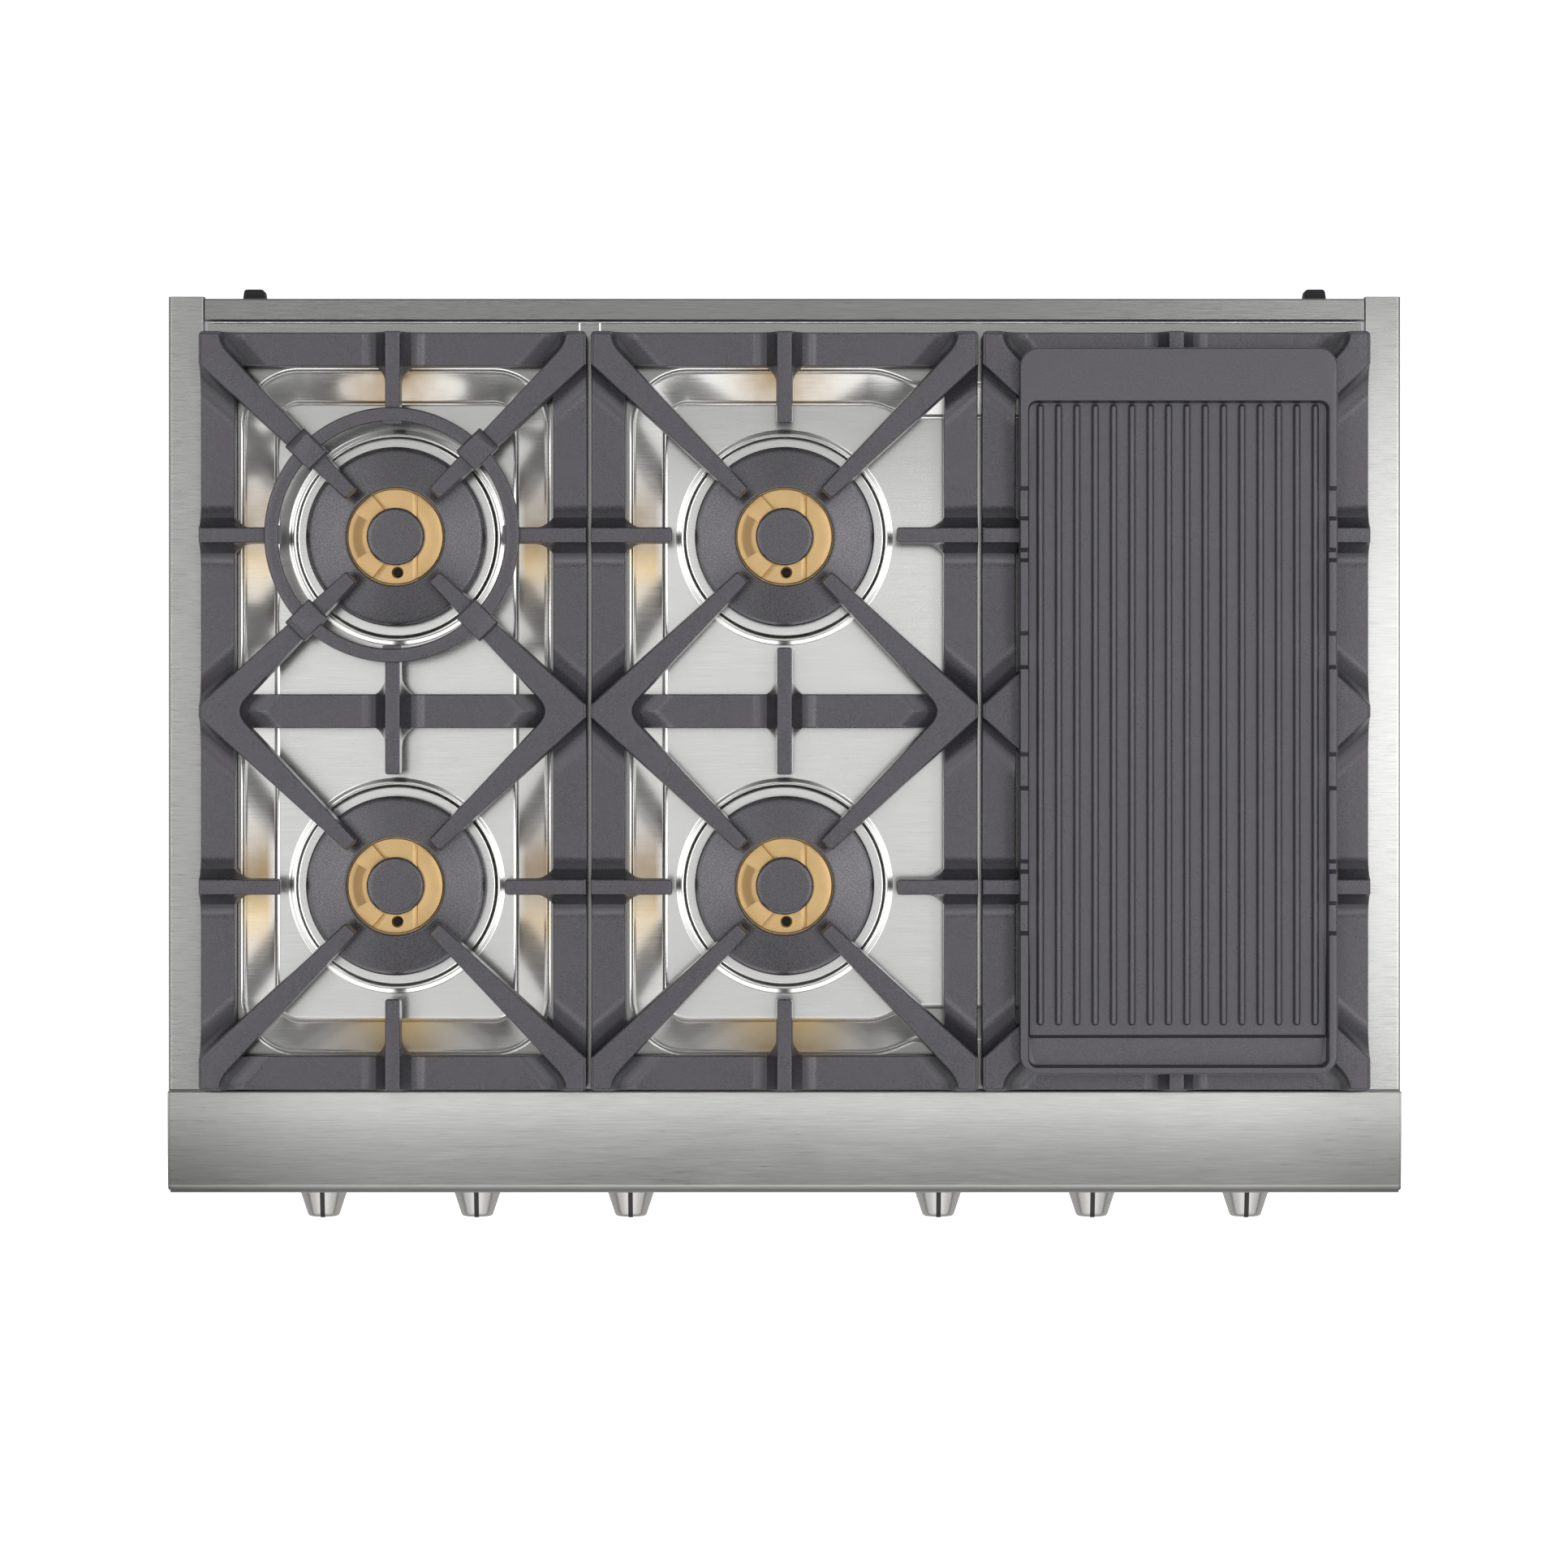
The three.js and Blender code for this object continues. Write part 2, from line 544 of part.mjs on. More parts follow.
// Solid under the V at the middle of a side.
function sideRoot(sx) {
  const x = between(sx * (HALF_W - BAR_WIDTH + 4), sx * (HALF_W - 0.2));
  return box(x, [-4, 4], [BAR_BOTTOM, FINGER_TOP - 1]);
}

const FOOT = { x: HALF_W - 14, y: HALF_D - 14, half: 6 };

function foot(sx, sy) {
  return box(
    [sx * FOOT.x - FOOT.half, sx * FOOT.x + FOOT.half],
    [sy * FOOT.y - FOOT.half, sy * FOOT.y + FOOT.half],
    [PAN_TOP + GAP, BAR_BOTTOM + 2],
  );
}

// The straight finger from the left (sx = -1) or right bar towards a burner, with its hump on the bar.
function sideFinger(sx, sy) {
  const y = sy * BURNER_Y;
  const outline = fingerSide(HALF_W - STRAIGHT_TIP).map(([s, z]) => [sx * (HALF_W - s), z]);
  const finger = lengthways(outline, [y - FINGER_WIDTH / 2, y + FINGER_WIDTH / 2]);
  const x = between(sx * HALF_W, sx * (HALF_W - BAR_WIDTH));
  return finger.add(sideways(hump().map(([along, z]) => [y + along, z]), x));
}

// The straight finger from the rear (sy = 1) or front bar.
function endFinger(sy) {
  const outline = fingerSide(HALF_D - BURNER_Y - STRAIGHT_TIP).map(([s, z]) => [sy * (HALF_D - s), z]);
  const y = between(sy * HALF_D, sy * (HALF_D - BAR_WIDTH));
  return fingerAlongY(outline, FINGER_WIDTH).add(lengthways(hump(), y));
}

// The straight finger that crosses the middle bar, with a tip towards each burner.
function middleFinger() {
  const tip = BURNER_Y - STRAIGHT_TIP;
  const half = [
    [BAR_WIDTH / 2, BAR_BOTTOM],
    [BAR_WIDTH / 2 + FINGER_SLOPE, FINGER_BOTTOM],
    [tip, FINGER_BOTTOM],
    [tip, FINGER_TOP],
  ];
  const outline = [...half, ...half.map(([y, z]) => [-y, z]).reverse()];
  const swell = lengthways(hump(), [-BAR_WIDTH / 2, BAR_WIDTH / 2]);
  return fingerAlongY(outline, FINGER_WIDTH).add(swell);
}

for (const [column, x] of Object.entries(COLUMNS)) {
  addPart("grate_" + column, grate().translate([x, GRATE_Y, 0]), castIron);
}

// ---------------------------------------------------------------- griddle plate
const GRIDDLE = { width: 232, depth: 530, corner: 14, bottom: FINGER_TOP + GAP, top: RAIL_TOP + 64 };
const GRIDDLE_FLOOR = RAIL_TOP + 50;
const RIDGE = { count: 16, pitch: 13.4, width: 5, top: RAIL_TOP + 56, y: [-206, 248] };
const FIELD = { halfWidth: 109.5, back: 249.8 }; // the sunken part of the plate
const TROUGH = { y: [-236, -214.4], floor: RAIL_TOP + 47 };
const RIM_SLOTS = [[138.7, 163.8], [108.2, 118.9], [30.2, 58]]; // gaps in the side rims, from the middle
const SLOT_DEPTH = 5;
const SKIRT = { width: 8, height: 2.5 }; // the plate stands on the edge of its underside

function griddlePlate() {
  const x = COLUMNS.right;
  const halfW = GRIDDLE.width / 2;
  const y = [GRATE_Y - GRIDDLE.depth / 2, GRATE_Y + GRIDDLE.depth / 2];
  const outline = roundedRectangle([x - halfW, x + halfW], y, GRIDDLE.corner);
  const blank = slab(outline, GRIDDLE.bottom, GRIDDLE.top);
  const wide = [x - FIELD.halfWidth, x + FIELD.halfWidth];
  const field = box(wide, [TROUGH.y[0], FIELD.back], [GRIDDLE_FLOOR, GRIDDLE.top + 1]);
  const trough = box(wide, TROUGH.y, [TROUGH.floor, GRIDDLE.top + 1]);
  const underside = box(
    [x - halfW + SKIRT.width, x + halfW - SKIRT.width],
    [y[0] + SKIRT.width, y[1] - SKIRT.width],
    [GRIDDLE.bottom - 1, GRIDDLE.bottom + SKIRT.height],
  );
  const slots = [-1, 1].flatMap((side) =>
    RIM_SLOTS.flatMap(([near, far]) =>
      [-1, 1].map((end) => {
        const cutX = between(x + side * (FIELD.halfWidth - 1), x + side * (halfW + 1));
        const cutY = between(GRATE_Y + end * near, GRATE_Y + end * far);
        return box(cutX, cutY, [GRIDDLE.top - SLOT_DEPTH, GRIDDLE.top + 1]);
      }),
    ),
  );
  const ridges = Array.from({ length: RIDGE.count }, (_, i) => {
    const middle = x + (i - (RIDGE.count - 1) / 2) * RIDGE.pitch;
    const section = [
      [middle - RIDGE.width / 2, GRIDDLE_FLOOR - 1],
      [middle + RIDGE.width / 2, GRIDDLE_FLOOR - 1],
      [middle + RIDGE.width / 4, RIDGE.top],
      [middle - RIDGE.width / 4, RIDGE.top],
    ];
    return lengthways(section, RIDGE.y);
  });
  return joined([cutBy(blank, [field, trough, underside, ...slots]), ...ridges]);
}
addPart("griddle_plate", griddlePlate(), castIron);

// ---------------------------------------------------------------- wok ring
const WOK = { inner: 83.4, outer: 93.4, bottom: FINGER_TOP + GAP, top: RAIL_TOP + 47.5 };
const SADDLE = { width: 19.5, length: 24.2, middle: 88.5, top: RAIL_TOP + 51, bottom: RAIL_TOP + 31 };
const SADDLE_SLOT = { width: 16, length: 28.2, top: FINGER_TOP + GAP, bottom: SADDLE.bottom - 2 };

function wokRing() {
  const profile = [
    [WOK.inner, WOK.bottom],
    [WOK.outer, WOK.bottom],
    [WOK.outer - 0.8, WOK.top],
    [WOK.inner + 0.8, WOK.top],
  ];
  const blocks = (size) =>
    [45, 135, 225, 315].map((degrees) => {
      const block = new THREE.BoxGeometry(size.length, size.width, size.top - size.bottom);
      block.translate(SADDLE.middle, 0, (size.top + size.bottom) / 2);
      return solid(block.rotateZ(THREE.MathUtils.degToRad(degrees)));
    });
  return cutBy(joined([turned(profile, 36), ...blocks(SADDLE)]), blocks(SADDLE_SLOT));
}
addPart("wok_ring", wokRing().translate([COLUMNS.left, ROWS.rear, 0]), castIron);

// ---------------------------------------------------------------- knobs and valve stems
const STEM = { radius: 4, flat: 3, back: -297, front: -342 };
const BORE = { radius: 4.4, flat: 3.4, front: -346 };
const KNOB_BACK = PANEL_FRONT - KNOB_PUSH - 0.9;

// A round with a flat on its underside, the section of a valve stem.
function flattedRound(radius, flat) {
  const half = Math.acos(flat / radius);
  const shape = new THREE.Shape();
  shape.absarc(0, 0, radius, -Math.PI / 2 + half, 1.5 * Math.PI - half);
  return shape;
}

function flattedRod(radius, flat, y, x) {
  const settings = { depth: y[1] - y[0], bevelEnabled: false, curveSegments: 8 };
  const geometry = new THREE.ExtrudeGeometry(flattedRound(radius, flat), settings);
  return solid(geometry.rotateX(Math.PI / 2).translate(x, y[1], KNOB_Z));
}

function knob(x) {
  const profile = [
    [0, -KNOB_BACK],
    [22.5, -KNOB_BACK],
    [22.5, -KNOB_BACK + 4],
    [17.2, -KNOB_BACK + 6.4],
    [12, -KNOB_FRONT - 2.4],
    [9.6, -KNOB_FRONT],
    [0, -KNOB_FRONT],
  ];
  const body = turnedForwards(profile, 20, x, KNOB_Z);
  const pointer = [
    [KNOB_BACK - 5, KNOB_Z + 10],
    [KNOB_BACK - 5, KNOB_Z + 18.2],
    [KNOB_FRONT + 1.8, KNOB_Z + 12.6],
    [KNOB_FRONT - 0.4, KNOB_Z + 10],
    [KNOB_FRONT - 0.4, KNOB_Z + 1],
    [KNOB_FRONT + 4, KNOB_Z + 1],
  ];
  const withPointer = body.add(sideways(pointer, [x - 1.75, x + 1.75]));
  return withPointer.subtract(flattedRod(BORE.radius, BORE.flat, [BORE.front, KNOB_BACK + 1], x));
}

KNOB_X.forEach((x, i) => {
  addPart("knob_" + (i + 1), knob(x), brushedSteel);
  addPart("valve_stem_" + (i + 1), flattedRod(STEM.radius, STEM.flat, [STEM.front, STEM.back], x), brass);
});

// ---------------------------------------------------------------- gas and spark
const MANIFOLD_Y = -272;
const PIPE_RADIUS = 10.5;
const VALVE = { half: 11, y: [-306, -281], z: [KNOB_Z - 12, KNOB_Z + 14] };
const BONNET = { radius: 9, front: -311, bore: 4.7, boreBack: -295 };
const TUBE_RADIUS = 4;
const REGULATOR = { x: INLET.x, y: 268, z: INLET.z, radius: 30 };

function valveBody(x) {
  const block = box([x - VALVE.half, x + VALVE.half], VALVE.y, VALVE.z);
  const rod = (radius, back, front) =>
    turnedForwards([[0, -back], [radius, -back], [radius, -front], [0, -front]], 10, x, KNOB_Z);
  const bonnet = rod(BONNET.radius, VALVE.y[0] + 1, BONNET.front);
  return block.add(bonnet).subtract(rod(BONNET.bore, BONNET.boreBack, BONNET.front - 1));
}

// From the underside of a valve, back under the burners and up to a burner's mixing hole.
function burnerTube(valveX, burnerX, burnerY) {
  const low = KNOB_Z - 34;
  const points = [
    [valveX, -292, KNOB_Z - 6],
    [valveX, -290, low + 8],
    [valveX, -276, low],
    [(valveX + burnerX) / 2, burnerY - 90, low],
    [burnerX, burnerY - 16, low],
    [burnerX, burnerY, low + 14],
    [burnerX, burnerY, PAN_FLOOR - 34 - 1],
  ];
  return pipe(points, TUBE_RADIUS, 9, 3);
}

function gasManifold() {
  const [left, right] = [KNOB_X[0] - 33, KNOB_X[KNOB_X.length - 1] + 45];
  const along = new THREE.CylinderGeometry(PIPE_RADIUS, PIPE_RADIUS, right - left, 10).rotateZ(Math.PI / 2);
  const main = solid(along.translate((left + right) / 2, MANIFOLD_Y, KNOB_Z));
  const feed = pipe(
    [
      [380, MANIFOLD_Y, KNOB_Z],
      [404, MANIFOLD_Y + 12, KNOB_Z - 6],
      [414, MANIFOLD_Y + 60, KNOB_Z - 40],
      [414, 150, REGULATOR.z],
      [REGULATOR.x, 210, REGULATOR.z],
      [REGULATOR.x, REGULATOR.y - REGULATOR.radius - 1, REGULATOR.z],
    ],
    8,
    8,
    4,
  );
  const targets = Object.values(COLUMNS).flatMap((x) => [[x, ROWS.rear], [x, ROWS.front]]);
  const tubes = KNOB_X.map((x, i) => burnerTube(x, ...targets[i]));
  return joined([main, feed, ...KNOB_X.map(valveBody), ...tubes]);
}
addPart("gas_manifold", gasManifold(), aluminium);

function pressureRegulator() {
  const { x, y, z, radius } = REGULATOR;
  const profile = [[0, z - 16], [20, z - 16], [radius, z - 6], [radius, z + 10], [12, z + 22], [0, z + 22]];
  const dome = turned(profile, 16, x, y);
  const stub = [[0, -y], [INLET.radius, -y], [INLET.radius, -BACK - 2], [0, -BACK - 2]];
  return dome.add(turnedForwards(stub, 12, x, z));
}
addPart("pressure_regulator", pressureRegulator(), aluminium);

function sparkModule() {
  const [x, y] = [-330, 262];
  const floor = SHEET + GAP;
  const body = box([x - 48, x + 48], [y - 30, y + 30], [floor, floor + 30]);
  const terminals = Array.from({ length: KNOB_X.length }, (_, i) =>
    upright(4, x - 40 + 16 * i, y - 12, floor + 29, floor + 42, 8),
  );
  return joined([body, ...terminals]);
}
addPart("spark_module", sparkModule(), plastic);

export default rangetop;
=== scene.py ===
"""Looks of a 36-inch gas rangetop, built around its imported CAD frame.

Every builder below works in millimetres, in the frame's own axes (+X right, +Y back, +Z up), and a piece is
turned to metres when it is made. Places and overall sizes come from the CAD nodes' boxes.
"""
import math

import bmesh
import bpy
import numpy as np
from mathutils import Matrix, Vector
from mathutils.geometry import delaunay_2d_cdt


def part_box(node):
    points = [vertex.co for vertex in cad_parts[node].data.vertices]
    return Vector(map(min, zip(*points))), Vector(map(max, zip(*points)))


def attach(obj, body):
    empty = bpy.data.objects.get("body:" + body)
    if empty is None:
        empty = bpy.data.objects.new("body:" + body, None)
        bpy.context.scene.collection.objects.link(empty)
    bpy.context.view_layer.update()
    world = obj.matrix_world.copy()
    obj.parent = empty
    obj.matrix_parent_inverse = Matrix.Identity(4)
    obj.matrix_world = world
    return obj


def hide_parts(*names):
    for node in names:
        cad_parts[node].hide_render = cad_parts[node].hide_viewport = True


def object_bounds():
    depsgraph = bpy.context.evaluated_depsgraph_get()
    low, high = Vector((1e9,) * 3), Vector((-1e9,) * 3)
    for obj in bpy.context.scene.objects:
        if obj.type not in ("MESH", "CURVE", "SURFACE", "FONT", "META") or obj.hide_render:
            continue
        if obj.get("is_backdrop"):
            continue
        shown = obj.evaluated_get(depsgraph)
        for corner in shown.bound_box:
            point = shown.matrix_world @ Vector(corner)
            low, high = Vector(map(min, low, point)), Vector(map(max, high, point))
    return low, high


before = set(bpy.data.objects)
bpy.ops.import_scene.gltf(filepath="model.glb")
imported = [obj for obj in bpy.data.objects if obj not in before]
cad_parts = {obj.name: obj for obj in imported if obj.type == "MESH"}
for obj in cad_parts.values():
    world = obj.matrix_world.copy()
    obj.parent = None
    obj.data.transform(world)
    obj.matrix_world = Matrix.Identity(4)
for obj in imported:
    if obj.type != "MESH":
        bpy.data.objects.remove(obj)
cad_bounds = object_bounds()

MM = 0.001
COLUMNS = ("left", "centre", "right")
ROWS = ("rear", "front")
BURNERS = [column + "_" + row for column in COLUMNS for row in ROWS]
KNOBS = range(1, 7)


class Span:
    """A CAD node's box in millimetres."""

    def __init__(self, node):
        low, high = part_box(node)
        self.x0, self.y0, self.z0 = (v / MM for v in low)
        self.x1, self.y1, self.z1 = (v / MM for v in high)
        self.x = (self.x0 + self.x1) / 2
        self.y = (self.y0 + self.y1) / 2
        self.z = (self.z0 + self.z1) / 2


# ---------------------------------------------------------------- outlines and profiles
def soften(points, radius, steps=4):
    """A closed outline with each corner turned into a curve that starts radius away from it."""
    out = []
    count = len(points)
    for i in range(count):
        before, corner, after = (np.array(points[(i + k) % count], float) for k in (-1, 0, 1))
        reach = radius[i] if isinstance(radius, (list, tuple)) else radius
        to_before, to_after = before - corner, after - corner
        a = corner + to_before * min(0.48, reach / max(np.linalg.norm(to_before), 1e-9))
        b = corner + to_after * min(0.48, reach / max(np.linalg.norm(to_after), 1e-9))
        if reach <= 0:
            out.append(tuple(corner))
            continue
        for t in np.linspace(0, 1, steps + 1):
            out.append(tuple((1 - t) ** 2 * a + 2 * t * (1 - t) * corner + t * t * b))
    return out


def grow(outline, distance):
    """A closed outline moved outwards (it runs anticlockwise) by a distance, with mitred corners."""
    points = np.array(outline, float)
    before = points - np.roll(points, 1, axis=0)
    after = np.roll(points, -1, axis=0) - points
    normals = []
    for edge in (before, after):
        length = np.maximum(np.linalg.norm(edge, axis=1, keepdims=True), 1e-9)
        normals.append(np.column_stack([edge[:, 1], -edge[:, 0]]) / length)
    middle = normals[0] + normals[1]
    middle /= np.maximum(np.linalg.norm(middle, axis=1, keepdims=True), 1e-9)
    stretch = np.maximum((middle * normals[0]).sum(axis=1, keepdims=True), 0.35)
    return [tuple(p) for p in points + middle * distance / stretch]


def arc(centre, radius, start, end, steps):
    """Points on a circle between two angles in degrees."""
    angles = np.radians(np.linspace(start, end, steps + 1))
    return [(centre[0] + radius * math.cos(a), centre[1] + radius * math.sin(a)) for a in angles]


def rectangle(x0, x1, y0, y1):
    return [(x0, y0), (x1, y0), (x1, y1), (x0, y1)]


def rounded_rectangle(x0, x1, y0, y1, radius, steps=8):
    return (
        arc((x1 - radius, y0 + radius), radius, -90, 0, steps)
        + arc((x1 - radius, y1 - radius), radius, 0, 90, steps)
        + arc((x0 + radius, y1 - radius), radius, 90, 180, steps)
        + arc((x0 + radius, y0 + radius), radius, 180, 270, steps)
    )


def anticlockwise(outline):
    p = np.array(outline)
    q = np.roll(p, -1, axis=0)
    area = (p[:, 0] * q[:, 1] - q[:, 0] * p[:, 1]).sum()
    return outline if area > 0 else outline[::-1]


def ease(share):
    """From 0 to 1 with a level start and end."""
    return 0.5 - 0.5 * math.cos(math.pi * share)


def rounded_run(start, end, edge):
    """Places from start to end with the distance outwards at each, for a run with rounded ends."""
    ends = [(0, -edge), (edge * 0.3, -edge * 0.3), (edge, 0)]
    return [(start + step, out) for step, out in ends] + [(end - step, out) for step, out in reversed(ends)]


# ---------------------------------------------------------------- shells
class Shell:
    """Points and faces of one piece in millimetres. Each face keeps the number of its material."""

    def __init__(self):
        self.points = []
        self.faces = []
        self.looks = []

    def add(self, points, faces, look=0):
        base = len(self.points)
        self.points.extend(tuple(map(float, p)) for p in points)
        self.faces.extend(tuple(base + i for i in face) for face in faces)
        self.looks.extend([look] * len(faces))

    def loft(self, loops, look=0, caps=True, closed=False):
        """Skins a row of loops with the same number of points. Closed joins the last loop to the first."""
        count = len(loops[0])
        points = [p for loop in loops for p in loop]
        faces = []
        pairs = len(loops) if closed else len(loops) - 1
        for k in range(pairs):
            a, b = k * count, ((k + 1) % len(loops)) * count
            for i in range(count):
                j = (i + 1) % count
                faces.append((a + i, a + j, b + j, b + i))
        if caps and not closed:
            faces.append(tuple(reversed(range(count))))
            faces.append(tuple(range((len(loops) - 1) * count, len(loops) * count)))
        self.add(points, faces, look)

    def slab(self, outline, bottom, top, edge=0.6, look=0):
        """An outline in plan between two heights, with rounded edges."""
        self.stack(anticlockwise(outline), rounded_run(bottom, top, edge), look)

    def stack(self, outline, levels, look=0, caps=True):
        """An outline grown outwards at each level. A level is a height and a distance."""
        self.loft([[(x, y, z) for x, y in grow(outline, out)] for z, out in levels], look, caps)

    def along(self, profile, start, end, axis, edge=0.5, look=0):
        """A closed profile run along X or Y. The profile holds (y, z) or (x, z) points."""
        loops = []
        for place, out in rounded_run(start, end, edge):
            ring = grow(anticlockwise(profile), out)
            loops.append([(place, u, v) if axis == "x" else (u, place, v) for u, v in ring])
        self.loft(loops, look)

    def turned(self, profile, steps=96, look=0, centre=(0, 0), axis="z"):
        """A profile of (radius, height) points turned about Z, or about Y with its heights to the front."""
        loops = []
        for angle in np.linspace(0, 2 * math.pi, steps, endpoint=False):
            c, s = math.cos(angle), math.sin(angle)
            ring = [(centre[0] + r * c, centre[1] + r * s, h) for r, h in profile]
            loops.append(ring if axis == "z" else [(u, -h, v) for u, v, h in ring])
        self.loft(loops, look, caps=False, closed=True)


def shade_by_area(piece, angle):
    """Smooth shading that keeps wide flat faces flat and breaks at edges sharper than the angle."""
    piece.data.set_sharp_from_angle(angle=math.radians(angle))
    weighted = piece.modifiers.new("shading", "WEIGHTED_NORMAL")
    weighted.keep_sharp = True
    weighted.weight = 75


def make_mesh(name, shell, looks, origin=(0, 0, 0)):
    """Turns a shell into a mesh in metres about an origin in millimetres."""
    mesh = bpy.data.meshes.new(name)
    bm = bmesh.new()
    points = [bm.verts.new((Vector(p) - Vector(origin)) * MM) for p in shell.points]
    for face, look in zip(shell.faces, shell.looks):
        corners = [points[i] for i in dict.fromkeys(face)]
        if len(corners) > 2:
            made = bm.faces.get(corners) or bm.faces.new(corners)
            made.material_index = look
            made.smooth = True
    bmesh.ops.remove_doubles(bm, verts=bm.verts, dist=1e-6)
    bmesh.ops.dissolve_degenerate(bm, edges=bm.edges, dist=1e-7)
    loose = [v for v in bm.verts if not v.link_faces]
    bmesh.ops.delete(bm, geom=loose, context="VERTS")
    bmesh.ops.recalc_face_normals(bm, faces=bm.faces)
    big = [f for f in bm.faces if len(f.verts) > 4]
    bmesh.ops.triangulate(bm, faces=big)
    bm.to_mesh(mesh)
    bm.free()
    for look in looks:
        mesh.materials.append(look)
    return mesh


def add_object(name, data):
    thing = bpy.data.objects.new(name, data)
    bpy.context.scene.collection.objects.link(thing)
    return thing


def place_mesh(name, mesh, slot, nodes=(), body="chassis", place=(0, 0, 0), angle=40):
    """Puts a mesh at a place, on the body that it rides, to stand for its CAD nodes."""
    piece = add_object(name, mesh)
    shade_by_area(piece, angle)
    piece.location = Vector(place) * MM
    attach(piece, body)
    if nodes:
        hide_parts(*nodes)
    return piece


def make_piece(name, shell, looks, slot, nodes=(), body="chassis", place=(0, 0, 0), angle=40):
    """A piece from a shell that is drawn where it belongs. Its place becomes its origin."""
    return place_mesh(name, make_mesh(name, shell, looks, place), slot, nodes, body, place, angle)


# ---------------------------------------------------------------- materials
class Graph:
    """Shorthand for building the nodes of a material or of the world."""

    def __init__(self, tree):
        self.nodes = tree.nodes
        self.links = tree.links

    def set(self, node, socket, value):
        if isinstance(value, bpy.types.NodeSocket):
            self.links.new(value, node.inputs[socket])
        else:
            node.inputs[socket].default_value = value

    def math(self, operation, a, b=0.0, c=0.0, clamp=False):
        node = self.nodes.new("ShaderNodeMath")
        node.operation = operation
        node.use_clamp = clamp
        for i, value in enumerate((a, b, c)):
            self.set(node, i, value)
        return node.outputs[0]

    def total(self, *values):
        result = values[0]
        for value in values[1:]:
            result = self.math("ADD", result, value)
        return result

    def product(self, *values):
        result = values[0]
        for value in values[1:]:
            result = self.math("MULTIPLY", result, value)
        return result

    def rest(self, share):
        """What is left of 1."""
        return self.math("SUBTRACT", 1.0, share)

    def hill(self, value, middle, width):
        """1 at the middle, falling off to both sides."""
        off = self.math("DIVIDE", self.math("SUBTRACT", value, middle), width)
        return self.math("EXPONENT", self.product(off, off, -1.0))

    def remap(self, value, low, high, to_low, to_high):
        node = self.nodes.new("ShaderNodeMapRange")
        self.set(node, "Value", value)
        for socket, v in zip(("From Min", "From Max", "To Min", "To Max"), (low, high, to_low, to_high)):
            self.set(node, socket, v)
        return node.outputs["Result"]

    def between(self, value, a, b, low=0.3, high=0.7):
        """From colour a to colour b as the value goes from low to high."""
        return self.mix(self.remap(value, low, high, 0, 1), a, b)

    def parts(self, vector):
        node = self.nodes.new("ShaderNodeSeparateXYZ")
        self.set(node, "Vector", vector)
        return [node.outputs[axis] for axis in "XYZ"]

    def mix(self, factor, a, b):
        node = self.nodes.new("ShaderNodeMix")
        node.data_type = "RGBA"
        self.set(node, "Factor", factor)
        for index, value in ((6, a), (7, b)):
            self.set(node, index, value if isinstance(value, bpy.types.NodeSocket) else (*value, 1))
        return node.outputs[2]


class Look(Graph):
    """One material. Its patterns use the piece's own coordinates, in metres."""

    def __init__(self, name, color, roughness, metallic=0.0, **more):
        self.material = bpy.data.materials.new(name)
        self.material.use_nodes = True
        super().__init__(self.material.node_tree)
        self.shader = self.nodes["Principled BSDF"]
        self.set(self.shader, "Base Color", (*color, 1))
        self.set(self.shader, "Roughness", roughness)
        self.set(self.shader, "Metallic", metallic)
        for key, value in more.items():
            self.set(self.shader, key.replace("_", " "), value)
        self.coords = self.nodes.new("ShaderNodeTexCoord").outputs["Object"]

    def scaled(self, scale):
        node = self.nodes.new("ShaderNodeMapping")
        self.set(node, "Vector", self.coords)
        self.set(node, "Scale", scale)
        return node.outputs[0]

    def noise(self, scale, detail=2.0, roughness=0.5, vector=None):
        node = self.nodes.new("ShaderNodeTexNoise")
        self.set(node, "Vector", self.coords if vector is None else vector)
        self.set(node, "Scale", scale)
        self.set(node, "Detail", detail)
        self.set(node, "Roughness", roughness)
        return node.outputs["Fac"]

    def bump(self, height, strength, distance=0.0002):
        node = self.nodes.new("ShaderNodeBump")
        self.set(node, "Height", height)
        self.set(node, "Strength", strength)
        self.set(node, "Distance", distance)
        self.set(self.shader, "Normal", node.outputs["Normal"])

    def base(self, value):
        self.set(self.shader, "Base Color", value)

    def rough(self, value):
        self.set(self.shader, "Roughness", value)

    def upright(self):
        """The upward part of the surface normal: 1 on level faces, 0 on upright ones."""
        geometry = self.nodes.new("ShaderNodeNewGeometry")
        return self.math("ABSOLUTE", self.parts(geometry.outputs["Normal"])[2])

    def radius(self, axes="XY"):
        parts = dict(zip("XYZ", self.parts(self.coords)))
        a, b = (parts[axis] for axis in axes)
        return self.math("SQRT", self.total(self.product(a, a), self.product(b, b)))


def shade(tone, factor):
    return tuple(min(1.0, c * factor) for c in tone)


def brushed_steel(name, tone, roughness, grain=0.03, painted_shading=None):
    """Stainless steel brushed from side to side: long fine streaks in tone, gloss and height.

    Painted shade: an optional function gives the share of the tone that is left at each place.
    """
    look = Look(name, tone, roughness, 1.0)
    streaks = look.noise(1.0, 3.0, 0.75, look.scaled((34, 1500, 1500)))
    long_streaks = look.noise(1.0, 2.0, 0.5, look.scaled((7, 420, 420)))
    cloud = look.noise(5.0, 2.0)
    both = look.total(look.product(streaks, 0.88), look.product(long_streaks, 0.12))
    base = look.between(both, shade(tone, 1 - 3 * grain), shade(tone, 1 + 3 * grain))
    # painted shade: the tone is darkened where the function says
    if painted_shading:
        base = look.mix(painted_shading(look, *look.parts(look.coords)), (0, 0, 0), base)
    look.base(base)
    gloss = look.remap(both, 0.3, 0.7, roughness - 0.03, roughness + 0.04)
    look.rough(look.total(gloss, look.remap(cloud, 0.3, 0.7, -0.02, 0.02)))
    look.bump(both, 0.05, 0.0001)
    return look.material


